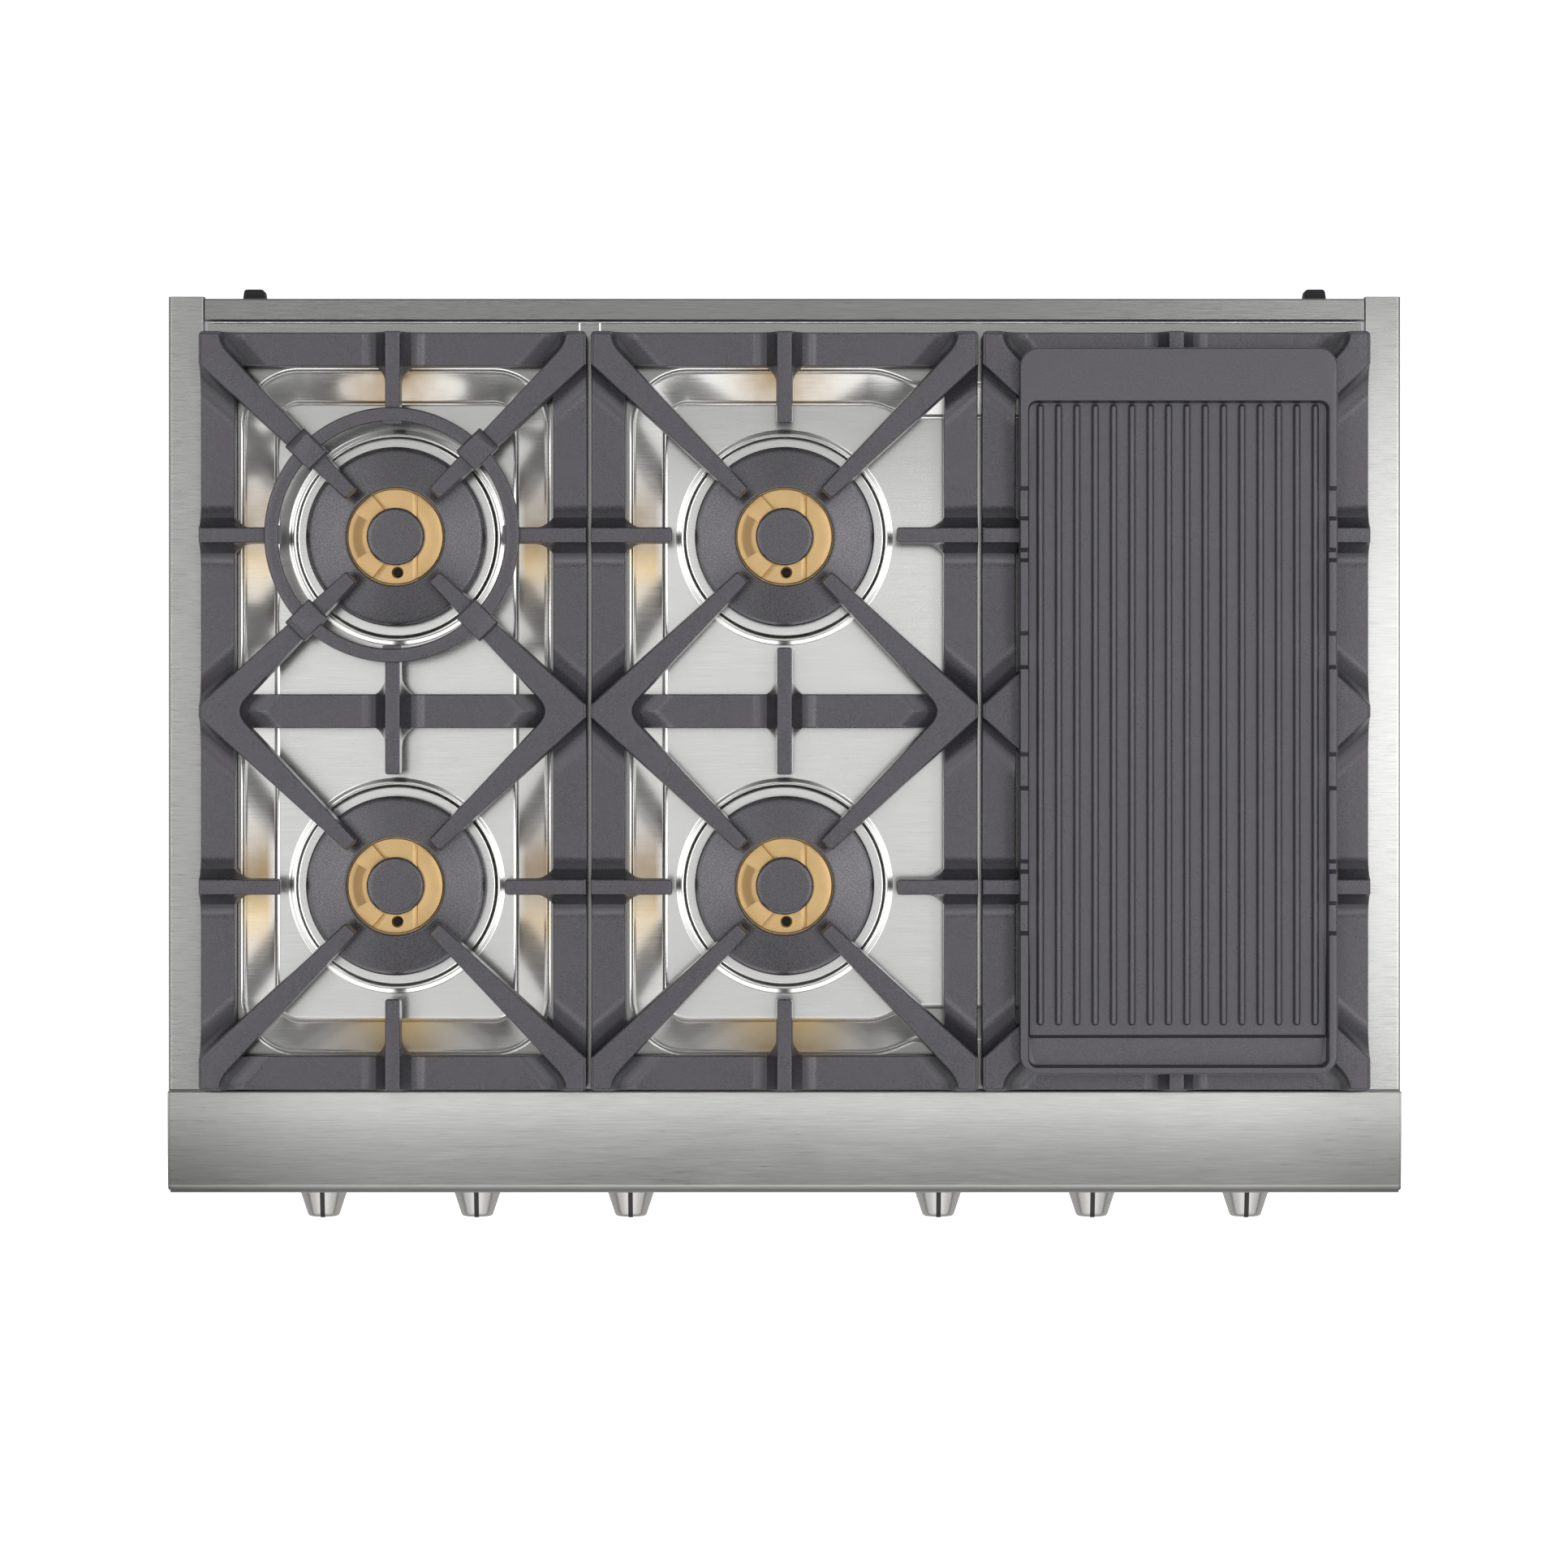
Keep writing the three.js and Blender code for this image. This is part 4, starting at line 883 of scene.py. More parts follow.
def griddle_shell(span):
    """Ribbed plate: a rim with shallow gaps in its sides, a sunken ribbed field and a trough in front."""
    shell = Shell()
    slots = [(30.2, 58), (108.2, 118.9), (138.7, 163.8)]
    slot_depth, ramp = 5, 3.2
    half_field, field_back, trough_front, trough_back = 109.5, 249.8, -236, -214.4
    floor, trough = span.z1 - 14, span.z1 - 17
    cuts = [(span.y + low, span.y + high) for low, high in slots]
    cuts += [(span.y - high, span.y - low) for low, high in slots]
    stations = sorted(edge + way * step for start, end in cuts for edge, way in ((start, 1), (end, -1))
                      for step in (-0.6, 0, ramp * 0.5, ramp))

    def top_at(y):
        sunk = 0.0
        for start, end in cuts:
            if start < y < end:
                sunk = slot_depth * ease(min(1.0, (y - start) / ramp, (end - y) / ramp))
        return span.z1 - sunk

    def floor_at(y):
        return trough + (floor - trough) * ease(min(1.0, max(0.0, (y - trough_back + 1.5) / 3.5)))

    def bottom_at(y):
        return span.z0

    def loops(bounds, levels):
        """Each level is a distance outwards, the height of a surface along the rim, and a rise over it."""
        x0, x1, y0, y1, radius = bounds
        for out, surface, over in levels:
            ring = rim_loop(x0 - out, x1 + out, y0 - out, y1 + out, radius + out, stations)
            yield [(x, y, surface(y) + over) for x, y in ring]

    outside = [(-9, bottom_at, 2.5), (-8, bottom_at, 0), (-1.2, bottom_at, 0), (-0.4, bottom_at, 0.4)]
    outside += [(0, bottom_at, 1.2), (0, top_at, -2.2), (-0.25, top_at, -1.1), (-0.75, top_at, -0.35)]
    outside += [(-1.5, top_at, 0)]
    inside_wall = [(0.8, top_at, 0), (0.35, top_at, -0.2), (0.1, top_at, -0.6), (0, top_at, -1.4)]
    inside_wall += [(-0.3, floor_at, 1.6), (-0.5, floor_at, 0.7), (-0.85, floor_at, 0.2)]
    inside_wall += [(-1.4, floor_at, 0)]
    rim = list(loops((span.x0, span.x1, span.y0, span.y1, 14), outside))
    field = (span.x - half_field, span.x + half_field, trough_front, field_back, 6)
    rim += list(loops(field, inside_wall))
    shell.loft(rim, caps=False)
    shell.add(rim[0], [tuple(reversed(range(len(rim[0]))))])
    edge = [(x, y) for x, y, _ in rim[-1]]
    past_edge = 130
    rows = np.arange(trough_back - 2, trough_back + 3, 0.5)
    points, faces = triangles([edge], [[(span.x - past_edge, y), (span.x + past_edge, y)] for y in rows])
    shell.add([(x, y, floor_at(y)) for x, y in points], in_region(points, faces, edge))
    griddle_ridges(shell, span.x, floor)
    return shell


def add_griddle():
    span = Span("griddle_plate")
    make_piece("ribbed_griddle", griddle_shell(span), [GRIDDLE_IRON], "cast_iron", ["griddle_plate"],
               "griddle_plate", (span.x, span.y, 0))


# ---------------------------------------------------------------- wok ring
def around(span, degrees):
    """Turns (outwards, sideways, height) at an angle about the middle of a span into a point."""
    c, s = math.cos(math.radians(degrees)), math.sin(math.radians(degrees))
    return lambda r, w, *z: (span.x + r * c - w * s, span.y + r * s + w * c, *z)


def wok_saddle(shell, put, low, top, foot):
    """A pad across the ring with two legs, which straddles a diagonal finger. Its inner end falls away."""
    half, back, front, middle = 9.75, -12.1, 12.1, 88.5
    crease, fall, edge, leg_inner = front - 6.2, 0.42, 1.6, 8.1

    def lower(r):
        return max(0.0, r - crease) * fall

    plan = soften([(back, -half), (front, -half), (front, half), (back, half)], 0.9, 4)
    levels = [(low, 0.3), (top - 1.5, 0), (top - 0.5, -0.35), (top - 0.1, -0.95), (top, -edge)]
    loops = []
    for z, out in levels:
        loops.append([put(middle + r, w, z - lower(r) * (z > low)) for r, w in grow(plan, out)])
    shell.loft(loops, caps=False)
    shell.add(loops[0], [tuple(reversed(range(len(loops[0]))))])
    flat = grow(plan, -edge)
    points, faces = triangles([flat], [[(crease, -20), (crease, 20)]])
    shell.add([put(middle + r, w, top - lower(r)) for r, w in points], in_region(points, faces, flat))
    for side in (-1, 1):
        leg = anticlockwise([(back + 0.4, side * leg_inner), (front - 0.4, side * leg_inner),
                             (front - 0.4, side * half), (back + 0.4, side * half)])
        rows = [(foot, -0.5), (foot + 0.5, 0), (low + 0.5, 0)]
        shell.loft([[put(middle + r, w, z) for r, w in grow(leg, out)] for z, out in rows])


def add_wok_ring():
    span = Span("wok_ring")
    shell = Shell()
    inner, outer = 83.4, 93.4
    low, high = FINGER_TOP + 0.3, span.z1 - 3.5
    rounded = [(0, -1.4), (0.35, -0.5), (1.2, 0)]
    ring = [(inner, low), (outer, low)] + [(outer - inset, high + drop) for inset, drop in rounded]
    ring += [(inner + inset, high + drop) for inset, drop in reversed(rounded)]
    shell.turned(ring, 192, 0, (span.x, span.y))
    half, tip = 6.8, inner - 2.4
    tab = soften([(inner + 1, half), (inner + 1, -half), (tip, -half), (tip, half)], 1.2, 4)
    for degrees in (0, 90, 180, 270):
        put = around(span, degrees)
        shell.slab([put(r, w) for r, w in tab], low, high - 1.2, 0.5)
    for degrees in (45, 135, 225, 315):
        wok_saddle(shell, around(span, degrees), low, span.z1, span.z0)
    make_piece("wok_support_ring", shell, [IRON], "cast_iron", ["wok_ring"], "wok_ring",
               (span.x, span.y, 0), 36)


# ---------------------------------------------------------------- burners
BURNER_PLACE = {}
for burner_name in BURNERS:
    cap = Span("inner_cap_" + burner_name)
    BURNER_PLACE[burner_name] = (cap.x, cap.y)
PAN_FLOOR = Span("inner_cap_centre_rear").z0 - 17.3
IGNITER = Span("igniter_centre_rear")
IGNITER_AT = (IGNITER.x - BURNER_PLACE["centre_rear"][0], IGNITER.y - BURNER_PLACE["centre_rear"][1])
RING_IN, RING_OUT = 20.6, 35.3
# The C of the brass ring ends at CUT_X, and a wedge on each side starts at the line GROOVE. BAND is the
# width of the dip beside both, STEP that of their edges, and the left sector from DISH_FROM is dished.
CUT_X = 16.4
GROOVE = ((-17.2, 30.1), (-8.9, 20.5))
BAND = 3.6
STEP = 0.12
DISH_FROM = 150


def signed_side(points, a, b):
    """Distance of each point to the left of the line from a to b."""
    a, b = np.array(a), np.array(b)
    direction = (b - a) / np.linalg.norm(b - a)
    rel = points - a
    return direction[0] * rel[:, 1] - direction[1] * rel[:, 0]


def brass_heights(points):
    """Top of the brass ring: a raised C on the right, two wedges on the left and recesses between them."""
    x, y = points[:, 0], np.abs(points[:, 1])
    folded = np.column_stack([x, y])
    radius = np.hypot(x, y)
    heights = np.full(len(points), 15.3)
    heights -= np.clip(1 - (CUT_X - x) / BAND, 0, 1) * 0.9
    beyond = signed_side(folded, *GROOVE)
    heights -= np.clip(1 - beyond / BAND, 0, 1) * 0.9
    raised = x > CUT_X - STEP / 2
    outer_fall = np.clip(radius - 31, 0, 9) * 0.10
    inner_fall = np.clip(25 - radius, 0, 9) * 0.10
    heights[raised] = (17.3 - outer_fall - inner_fall)[raised]
    wedge = beyond < STEP / 2
    heights[wedge] = (17.0 - outer_fall - inner_fall)[wedge]
    angle = np.degrees(np.arctan2(y, x))
    low = angle > DISH_FROM
    dish = 15.6 + np.clip(radius - 31.2, 0, 9) * 0.16 + np.clip(24.6 - radius, 0, 9) * 0.16
    heights[low & wedge] = dish[low & wedge]
    return heights


def brass_lines():
    """The lines in plan along which the height of the brass ring changes."""
    start, end = (np.array(point) for point in GROOVE)
    run = (end - start) / np.linalg.norm(end - start)
    left = np.array([-run[1], run[0]])
    lines = []
    for sy in (-1, 1):
        for off in (STEP, -STEP, BAND):
            lines.append([(CUT_X - off, sy * 12), (CUT_X - off, sy * 36)])
        for off in (STEP, -STEP, BAND):
            (ax, ay), (bx, by) = start - run * 6 + left * off, end + run * 6 + left * off
            lines.append([(ax, sy * ay), (bx, sy * by)])
        for degrees in (DISH_FROM - 0.35, DISH_FROM + 0.35):
            c, s = math.cos(math.radians(degrees)), math.sin(math.radians(degrees))
            lines.append([(c * 19, sy * s * 19), (c * 37, sy * s * 37)])
    return lines


def brass_ring(shell, floor):
    angles = np.linspace(0, 2 * math.pi, 180, False)
    radii = (RING_OUT, RING_OUT - 0.1, RING_OUT - 0.35, RING_OUT - 0.8, 31, 25, RING_IN)
    rings = [[(r * math.cos(a), r * math.sin(a)) for a in angles] for r in radii]
    outer, inner = rings[0], rings[-1]
    hole = arc(IGNITER_AT, 3.95, 0, 345, 23)
    points, faces = triangles(rings + [hole, grow(hole, 0.45)], brass_lines())
    points, faces = compact(points, in_region(points, faces, outer, [inner, hole]))
    tops = floor + brass_heights(points)
    tops -= rounding(nearest(points, [outer]), 0.8) * 0.9
    tops -= rounding(nearest(points, [hole]), 0.45)
    relief(shell, points, faces, tops, floor + 7.6)


def burner_head_shell(floor):
    """Brass head: ported skirt, deck under the caps and the shaped ring between them."""
    shell = Shell()
    port_count, port_depth = 60, 2.2
    skirt = [(14, 6.5), (57, 6.5), (57.6, 7), (58, 8.4), (58.6, 9.2), (58.8, 12.6), (58.2, 13.4)]
    skirt += [(57.4, 13.7), (RING_OUT, 13.7), (RING_OUT, 8), (14.6, 8), (14, 7.5)]
    loops = []
    for k in range(4 * port_count):
        angle = 2 * math.pi * k / (4 * port_count)
        c, s = math.cos(angle), math.sin(angle)
        cut_in = port_depth if k % 4 in (1, 2) else 0
        radii = [r - cut_in if r > 58 and h < 13 else r for r, h in skirt]
        loops.append([(r * c, r * s, floor + h) for r, (_, h) in zip(radii, skirt)])
    shell.loft(loops, caps=False, closed=True)
    brass_ring(shell, floor)
    seat = RING_IN + 0.4
    shell.turned([(14, floor + 7), (seat, floor + 7), (seat, floor + 15.2), (14.5, floor + 15.2),
                  (14, floor + 14.8)], 96)
    return shell


def burner_turning(profile, steps):
    """A turned burner piece. Heights in its profile are over the pan's floor."""
    shell = Shell()
    shell.turned([(r, PAN_FLOOR + h) for r, h in profile], steps)
    return shell


def burner_kinds():
    """Each kind of burner piece about its own axis, with its finish and slot."""
    base = [(12, -34), (34, -34), (36, -33), (49, -21), (50, -19), (50, 0.3), (58.8, 0.3), (59.6, 0.8)]
    base += [(60, 1.8), (60, 4.9), (59.5, 5.7), (58.6, 6), (13, 6), (12, 5)]
    outer = [(36, 14.3), (63.2, 14), (64.6, 14.2), (65.8, 14.8), (66.3, 15.6), (66.2, 16.4), (65.6, 17.1)]
    outer += [(64.6, 17.6), (63, 17.9), (61.5, 18.1), (38, 20.6), (37.4, 20.65), (36.7, 20.4), (36.1, 19.8)]
    inner = [(0, 17.5), (20.2, 17.4), (21, 17.9), (21.25, 18.8), (21.2, 19.8), (20.9, 20.5), (20.3, 21)]
    inner += [(19.4, 21.22), (17, 21.27), (8, 21.3), (0, 21.3)]
    igniter = [(0, -40), (2.6, -40), (3.4, -39), (3.4, 11.6), (3, 12.4), (1.9, 12.8), (1.3, 13.2)]
    igniter += [(0.6, 13.4), (0, 13.4)]
    return {
        "burner_base": (burner_turning(base, 144), ALUMINIUM, "aluminium"),
        "burner_head": (burner_head_shell(PAN_FLOOR), BRASS, "burner_brass"),
        "outer_cap": (burner_turning(outer, 192), ENAMEL, "cap_enamel"),
        "inner_cap": (burner_turning(inner, 144), ENAMEL, "cap_enamel"),
        "igniter": (burner_turning(igniter, 40), CERAMIC, "igniter_ceramic"),
    }


def add_burners():
    kinds = burner_kinds()
    meshes = {kind: make_mesh("fine_" + kind, shell, [look]) for kind, (shell, look, _) in kinds.items()}
    for burner in BURNERS:
        for kind, (_, _, slot) in kinds.items():
            node = kind + "_" + burner
            middle = Span(node) if kind == "igniter" else Span("inner_cap_" + burner)
            place_mesh("fine_" + node, meshes[kind], slot, [node], "chassis", (middle.x, middle.y, 0), 34)


# ---------------------------------------------------------------- pans
LEFT_PAN, RIGHT_PAN = Span("left_pan"), Span("right_pan")
PAN_TOP = LEFT_PAN.z1
PAN_DEPTH = PAN_TOP - PAN_FLOOR
BEAD_OUT, BEAD_IN = 80.4, 72.0
CIRCLE_STEPS = 120
# The wall of a basin: distance outwards from the edge of its floor, and height above the floor.
WALL = [(-4.4, 0), (-3.2, 0), (-2.0, 0.12), (-1.1, 0.55), (-0.5, 1.3), (0.1, 1.9), (0.9, 2.35)]
WALL += [(19.4, 10.85), (20.5, 11.5), (21.3, 12.15), (21.9, 12.4), (22.5, 12.15), (22.9, 11.65)]
WALL += [(23.4, 11.65), (23.9, 11.95), (24.6, PAN_DEPTH), (25.6, PAN_DEPTH)]


def basin_outline(x0, x1, narrow=None):
    """Floor of a basin. Between the two places in narrow, its long edges stand 10 mm further in."""
    y0, y1, radius, inset, run = -206.3, 253.5, 18, 10, 36
    waist = []
    if narrow:
        start, end = narrow
        shares = np.linspace(0, 1, 13)
        waist = [(start + run * share, inset * ease(share)) for share in shares]
        waist += [(end - run * (1 - share), inset * ease(1 - share)) for share in shares]
    outline = arc((x0 + radius, y0 + radius), radius, 180, 270, 12)
    outline += [(x, y0 + out) for x, out in waist]
    outline += arc((x1 - radius, y0 + radius), radius, -90, 0, 12)
    outline += arc((x1 - radius, y1 - radius), radius, 0, 90, 12)
    outline += [(x, y1 - out) for x, out in reversed(waist)]
    return outline + arc((x0 + radius, y1 - radius), radius, 90, 180, 12)


def circle(centre, radius):
    return arc(centre, radius, 0, 360 - 360 / CIRCLE_STEPS, CIRCLE_STEPS - 1)


def add_pan(node, outline, burners):
    """A pan with one basin, a bead around each burner and a well under it, made of 1 mm sheet."""
    span = Span(node)
    shell = Shell()
    shell.stack(outline, [(PAN_FLOOR + h, out) for out, h in WALL], caps=False)
    floor_edge, rim = (grow(outline, WALL[end][0]) for end in (0, -1))
    sheet(shell, rectangle(span.x0, span.x1, span.y0, span.y1), [rim], PAN_TOP)
    sheet(shell, floor_edge, [circle(BURNER_PLACE[b], BEAD_OUT) for b in burners], PAN_FLOOR)
    bead_steps = 14
    profile = [(BEAD_OUT - (BEAD_OUT - BEAD_IN) * share, ease(2 * share))
               for share in np.linspace(0, 1, bead_steps + 1)]
    profile += [(62, 0), (54.6, 0), (53.2, -0.3), (52.3, -1.1), (52, -2.4), (52, -4)]
    for b in burners:
        x, y = BURNER_PLACE[b]
        loops = [[(px, py, PAN_FLOOR + h) for px, py in circle((x, y), r)] for r, h in profile]
        shell.loft(loops, caps=False)
    piece = make_piece("pressed_" + node, shell, [PAN_STEEL], "pressed_steel", [node], angle=60)
    piece.modifiers.clear()
    thick = piece.modifiers.new("thickness", "SOLIDIFY")
    thick.thickness = 1.0 * MM
    thick.offset = -1
    thickened = piece.evaluated_get(bpy.context.evaluated_depsgraph_get())
    piece.data = bpy.data.meshes.new_from_object(thickened)
    piece.modifiers.clear()
    shade_by_area(piece, 55)


def add_pans():
    add_pan("left_pan", basin_outline(-377.4, -197.4), BURNERS[:2])
    add_pan("right_pan", basin_outline(-90, 377.4, (62, 225.4)), BURNERS[2:])


def add_seams():
    """The joint strip's cover between the pans, with a bright bead along each side and behind the pans."""
    left, right = LEFT_PAN.x1, RIGHT_PAN.x0
    front, back = LEFT_PAN.y0 + 1, Span("rear_trim").y0 - 0.4
    bead, inset = 1.3, 3
    shell = Shell()
    shell.slab(rectangle(left, right, front, back), PAN_TOP - 0.5, PAN_TOP + 0.3, 0.3)
    beads = [rectangle(x - bead / 2, x + bead / 2, front, back) for x in (left, right)]
    beads.append(rectangle(LEFT_PAN.x0 + inset, RIGHT_PAN.x1 - inset, back - bead, back))
    for outline in beads:
        shell.slab(outline, PAN_TOP - 0.4, PAN_TOP + 0.6, 0.4, 1)
    make_piece("joint_strip_cover", shell, [STRIP_STEEL, BEAD_STEEL], "pressed_steel", angle=30)


# ---------------------------------------------------------------- trim
RAIL_TOP = Span("left_side_rail").z1
SHEET = 2


def bent_sheet(path, thickness=SHEET):
    """Section of a bent sheet: a path of points on its outside, thickened to its right-hand side."""
    points = np.array(path, float)
    before = points - np.roll(points, 1, axis=0)
    after = np.roll(points, -1, axis=0) - points
    before[0], after[-1] = after[0], before[-1]
    normals = []
    for edge in (before, after):
        edge = edge / np.maximum(np.linalg.norm(edge, axis=1, keepdims=True), 1e-9)
        normals.append(np.column_stack([edge[:, 1], -edge[:, 0]]))
    middle = normals[0] + normals[1]
    middle /= np.maximum(np.linalg.norm(middle, axis=1, keepdims=True), 1e-9)
    stretch = np.maximum((middle * normals[0]).sum(axis=1, keepdims=True), 0.5)
    inner = points + middle * thickness / stretch
    return [tuple(p) for p in points] + [tuple(p) for p in inner[::-1]]


def add_rails():
    outer_radius, inner_radius, drop = 2.6, 1.6, 11
    for side, node in ((-1, "left_side_rail"), (1, "right_side_rail")):
        span = Span(node)
        top = span.z1
        outer_x, inner_x = (span.x0, span.x1) if side < 0 else (span.x1, span.x0)
        level = 90 + side * 90
        path = [(outer_x, span.z0)]
        path += arc((outer_x - side * outer_radius, top - outer_radius), outer_radius, 180 - level, 90, 7)
        path += arc((inner_x + side * inner_radius, top - inner_radius), inner_radius, 90, level, 5)
        path += [(inner_x, top - drop)]
        shell = Shell()
        shell.along(bent_sheet(path[::-side]), span.y0, span.y1, "y", 0.35)
        make_piece("folded_" + node, shell, [RAIL_LOOKS[side]], "brushed_steel", [node])


def add_rear_trim():
    span = Span("rear_trim")
    top, front_radius, rear_radius, drop = span.z1, 1.4, 1.2, 11
    path = [(span.y0, top - drop)]
    path += arc((span.y0 + front_radius, top - front_radius), front_radius, 180, 90, 5)
    path += arc((span.y1 - rear_radius, top - rear_radius), rear_radius, 90, 0, 7)
    path += [(span.y1, span.z0)]
    shell = Shell()
    shell.along(bent_sheet(path), span.x0, span.x1, "x", 0.35)
    make_piece("folded_rear_trim", shell, [TRIM_STEEL], "brushed_steel", ["rear_trim"])


def add_bullnose():
    """A ledge that falls away to the front, with a rounded nose, a returned lower edge and end caps."""
    span = Span("bullnose")
    top, bottom, back = span.z1, span.z0, span.y1 - 0.1
    rear_radius, nose_radius, low_radius = 1.2, 5, 4.5
    crown, flat = 3.4, 10
    path = [(back, top - 12)]
    path += arc((span.y1 - rear_radius, top - rear_radius), rear_radius, 0, 90, 5)
    run = span.y1 - flat - (span.y0 + nose_radius)
    path += [(span.y1 - flat - run * share, top - crown * share * share) for share in np.linspace(0, 1, 12)]
    tilt = math.atan2(2 * crown, run)
    middle_z = top - crown - nose_radius * math.cos(tilt)
    for share in np.linspace(0.06, 1, 18):
        angle = tilt + (math.pi / 2 - tilt) * share
        sideways = math.sin(angle) - math.sin(tilt) * (1 - share)
        path.append((span.y0 + nose_radius * (1 - sideways), middle_z + nose_radius * math.cos(angle)))
    path += arc((span.y0 + low_radius, bottom + low_radius), low_radius, 180, 270, 9)
    path += [(span.y0 + 11, bottom)]
    shell = Shell()
    end = 1.6
    shell.along(bent_sheet(path[::-1], -SHEET)[::-1], span.x0 + end, span.x1 - end, "x", 0.3)
    for x0, x1 in ((span.x0, span.x0 + end), (span.x1 - end, span.x1)):
        shell.along(path + [(back, bottom)], x0, x1, "x", 0.45)
    make_piece("formed_bullnose", shell, [NOSE_STEEL], "brushed_steel", ["bullnose"])


def add_bumpers():
    narrow = 1.2
    for side in ("left", "right"):
        span = Span("rear_bumper_" + side)
        plan = [(span.x0, span.y0), (span.x1, span.y0)]
        plan += [(span.x1 - narrow, span.y1), (span.x0 + narrow, span.y1)]
        shell = Shell()
        shell.slab(soften(plan, [0.4, 0.4, 2.4, 2.4], 4), span.z0, span.z1, 1.2)
        make_piece("moulded_bumper_" + side, shell, [RUBBER], "bumper_rubber", ["rear_bumper_" + side])


# ---------------------------------------------------------------- front
PANEL = Span("control_panel")
KNOB_AT = {i: (Span(f"valve_stem_{i}").x, Span(f"valve_stem_{i}").z) for i in KNOBS}


def add_bezel(number, x, z):
    back = -PANEL.y0
    ring = [(23.6, -0.4), (23.6, 1.2), (24.2, 1.9), (25.6, 2.2), (27.2, 1.7), (28, 0.7), (28.1, -0.4)]
    shell = Shell()
    shell.turned([(r, back + h) for r, h in ring], 96, 0, (x, z), "y")
    make_piece(f"knob_bezel_{number}", shell, [BEZEL_STEEL], "brushed_steel", place=(x, 0, z), angle=34)


def add_dial_marks(number, x, z):
    """Ten dashes around a knob, 30 degrees apart, of which the first and last are longer."""
    shell = Shell()
    count, near = 10, 30
    for k in range(count):
        long = k in (0, count - 1)
        far, half = (35, 0.7) if long else (33, 0.4)
        angle = math.radians(90 - k * 30)
        c, s = math.cos(angle), math.sin(angle)
        dash = [(x + r * c - w * s, z + r * s + w * c)
                for r, w in ((near, -half), (far, -half), (far, half), (near, half))]
        shell.loft([[(u, y, v) for u, v in dash] for y in (PANEL.y0 + 0.3, PANEL.y0 - 0.12)])
    make_piece(f"dial_marks_{number}", shell, [BLACK], "module_plastic", place=(x, 0, z), angle=34)


def add_panel_details():
    """A steel bezel and plain printed marks around each knob."""
    for number, (x, z) in KNOB_AT.items():
        add_bezel(number, x, z)
        add_dial_marks(number, x, z)


def add_knobs():
    """Flared steel knobs, each with a black pointer let into its top and face."""
    for number, (x, z) in KNOB_AT.items():
        node = f"knob_{number}"
        span = Span(node)
        back, front = -span.y1, -span.y0 - 0.4
        skirt = [(0, 8), (9, 8), (9.4, 0), (21.8, 0), (22.5, 0.7), (22.5, 3), (22.1, 3.8), (21.4, 4.4)]
        skirt += [(20.4, 5.4), (19.5, 6.9)]
        face = [(12.3, -3.2), (11.8, -1.7), (10.9, -0.6), (9.6, -0.1), (8, 0), (0, 0.02)]
        profile = [(r, back + h) for r, h in skirt] + [(r, front + h) for r, h in face]
        shell = Shell()
        shell.turned(profile, 144, 0, (x, z), "y")
        rear = [(5.2, 10), (5.2, 20.6), (6.6, 20.4)]
        tip = [(-3.4, 13.1), (-1.4, 12.2), (-0.1, 11), (0.38, 9.4), (0.38, 1), (-4, 1)]
        side = [(-back - y, z + h) for y, h in rear] + [(-front - y, z + h) for y, h in tip]
        half, edges = 1.75, ((0, -0.4), (0.15, -0.1), (0.4, 0))
        rounds = [(inset - half, out) for inset, out in edges]
        rounds += [(half - inset, out) for inset, out in reversed(edges)]
        shell.loft([[(x + w, y, h) for y, h in grow(anticlockwise(side), out)] for w, out in rounds], 1)
        make_piece(f"turned_knob_{number}", shell, [KNOB_STEEL, BLACK], "knob_steel", [node], node,
                   (x, 0, z), 34)


# ---------------------------------------------------------------- box
def add_screws():
    """Round-headed screws in two rows along the rear of the burner box."""
    box = Span("burner_box")
    dome = [(0, 1.9), (1.6, 1.75), (3, 1.2), (3.8, 0.3), (3.8, -0.3), (0, -0.3)]
    shell = Shell()
    for x in (-430, -215, 0, 215, 430):
        for z in (16, 108):
            shell.turned([(r, -box.y1 - h) for r, h in dome], 24, 0, (x, z), "y")
    make_piece("rear_screws", shell, [KNOB_STEEL], "galvanised_steel")


def dress_cad_nodes():
    """Finishes for the CAD nodes that show as they are."""
    looks = {"burner_box": GALVANISED, "control_panel": PANEL_STEEL, "gas_manifold": ALUMINIUM,
             "pressure_regulator": ALUMINIUM, "spark_module": PLASTIC}
    looks.update({f"valve_stem_{i}": BRASS_PLAIN for i in KNOBS})
    for node, look in looks.items():
        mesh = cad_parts[node].data
        mesh.materials.clear()
        mesh.materials.append(look)


add_grates()
add_griddle()
add_wok_ring()
add_burners()
add_pans()
add_seams()
add_rails()
add_rear_trim()
add_bullnose()
add_bumpers()
add_panel_details()
add_knobs()
add_screws()
dress_cad_nodes()


# ---------------------------------------------------------------- floor, light and camera
def add_plane(name, half, z):
    mesh = bpy.data.meshes.new(name)
    mesh.from_pydata([(x, y, 0) for x, y in rectangle(-half, half, -half, half)], [], [(0, 1, 2, 3)])
    plane = add_object(name, mesh)
    plane.location = (0, 0, z)
    plane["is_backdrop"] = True
    return plane


def grey(value):
    return (value, value, value)


def seen_by(graph, camera, glossy, other):
    """Picks a value by the kind of ray that meets the surface."""
    path = graph.nodes.new("ShaderNodeLightPath")
    by_gloss = graph.mix(path.outputs["Is Glossy Ray"], other, glossy)
    return graph.mix(path.outputs["Is Camera Ray"], by_gloss, camera)


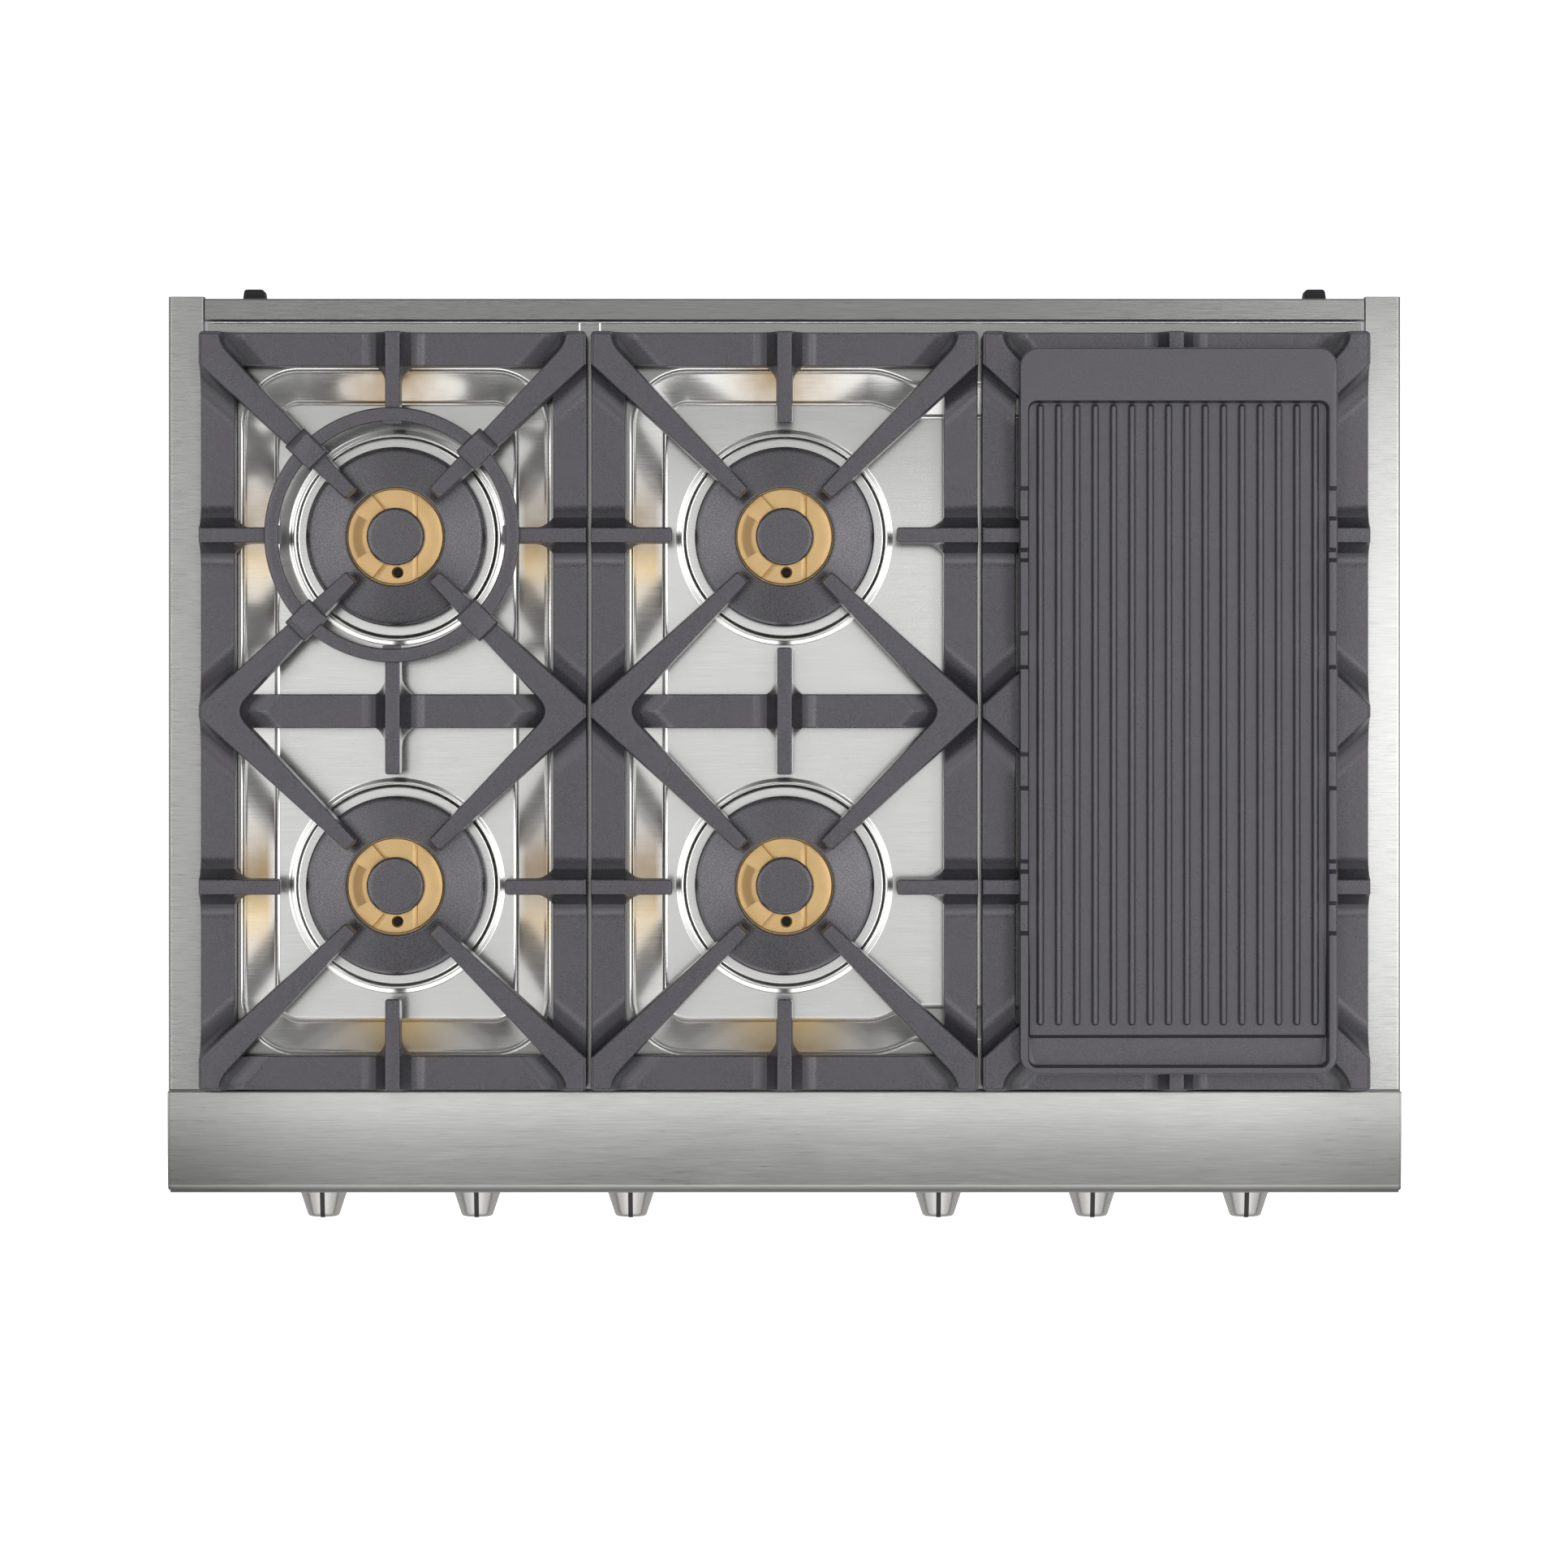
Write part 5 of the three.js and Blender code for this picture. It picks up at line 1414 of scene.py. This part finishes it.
def add_floor():
    """A pale floor that stays white to the camera and dim in reflections."""
    floor = add_plane("floor", 7, -0.0005)
    look = Look("floor_white", (0.5, 0.5, 0.5), 0.9)
    glow = seen_by(look, grey(1), grey(0.16), grey(0.02))
    look.set(look.shader, "Emission Color", glow)
    look.set(look.shader, "Emission Strength", 1.0)
    floor.data.materials.append(look.material)


def add_world():
    """A plain studio seen in reflections: a patch overhead, boxes around it and a pale horizon."""
    world = bpy.data.worlds.new("studio")
    bpy.context.scene.world = world
    world.use_nodes = True
    graph = Graph(world.node_tree)
    x, y, z = graph.parts(graph.nodes.new("ShaderNodeTexCoord").outputs["Generated"])
    radius = graph.math("SQRT", graph.total(graph.product(x, x), graph.product(y, y)))
    dim_front = graph.rest(graph.product(graph.hill(y, -0.22, 0.13), 1.0))
    overhead = graph.product(graph.hill(radius, 0, 0.26), dim_front, 0.66)
    dome = graph.product(graph.hill(radius, 0, 0.80), 0.16)
    middle = graph.hill(y, 0.05, 0.35)
    sides = ((-0.25, 0.05, 4.4), (0.25, 0.055, 5.2), (-0.54, 0.12, 2.2), (0.54, 0.12, 2.4))
    boxes = [graph.product(graph.hill(x, place, width), middle, power) for place, width, power in sides]
    ends = ((-0.53, 0.10, 0.5, 2.4), (-0.68, 0.07, 0.5, 0.8), (0.24, 0.08, 0.20, 0.6))
    for place, depth, width, power in ends:
        boxes.append(graph.product(graph.hill(y, place, depth), graph.hill(x, 0, width), power))
    ring = graph.product(graph.hill(radius, 0.77, 0.09), graph.remap(y, -0.7, 0.7, 0.70, 0.55))
    horizon = graph.product(graph.hill(radius, 0.95, 0.10), 0.75)
    dim_rear = graph.remap(y, 0.12, 0.45, 1, 0.6)
    light = graph.total(overhead, dome, graph.total(*boxes), ring, horizon)
    light = graph.total(graph.product(light, dim_rear), 0.02)
    light = graph.product(light, graph.remap(z, 0.0, 0.12, 0, 1))
    studio = graph.nodes.new("ShaderNodeCombineColor")
    for channel in ("Red", "Green", "Blue"):
        graph.set(studio, channel, light)
    background = graph.nodes["Background"]
    graph.set(background, "Color", seen_by(graph, grey(1), studio.outputs[0], grey(0.10)))
    graph.set(background, "Strength", 1.0)


def add_area(name, size, place, power):
    """A soft box aimed at the rangetop. It lights surfaces without showing in their reflections."""
    aim = Vector((0, 0, 0.18))
    lamp = bpy.data.lights.new(name, "AREA")
    lamp.shape = "RECTANGLE"
    lamp.size, lamp.size_y = size
    lamp.energy = power
    box = add_object(name, lamp)
    box.location = place
    box.rotation_euler = (aim - Vector(place)).to_track_quat("-Z", "Y").to_euler()
    box.visible_camera = False
    box.visible_glossy = False


def add_camera():
    """Straight above, as if 4.5 m over the side rails, where the picture is 1159.2 mm wide."""
    height, view_width = 4500, 1159.2
    camera = bpy.data.cameras.new("overhead")
    camera.sensor_width = 36
    camera.lens = camera.sensor_width * height / view_width
    camera.shift_x, camera.shift_y = -0.00034, -0.02578
    camera.clip_end = 50
    stand = add_object("overhead_camera", camera)
    stand.location = (0, 0, (RAIL_TOP + height) * MM)
    bpy.context.scene.camera = stand


add_floor()
add_world()
add_area("overhead_softbox", (2.2, 2.2), (0.2, -0.1, 3.0), 75)
add_area("right_softbox", (0.9, 2.2), (2.2, 0.1, 2.2), 20)
add_camera()
bpy.context.scene.view_settings.view_transform = "Standard"

visual_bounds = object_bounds()
boxes = [[list(map(float, corner)) for corner in bounds] for bounds in (cad_bounds, visual_bounds)]
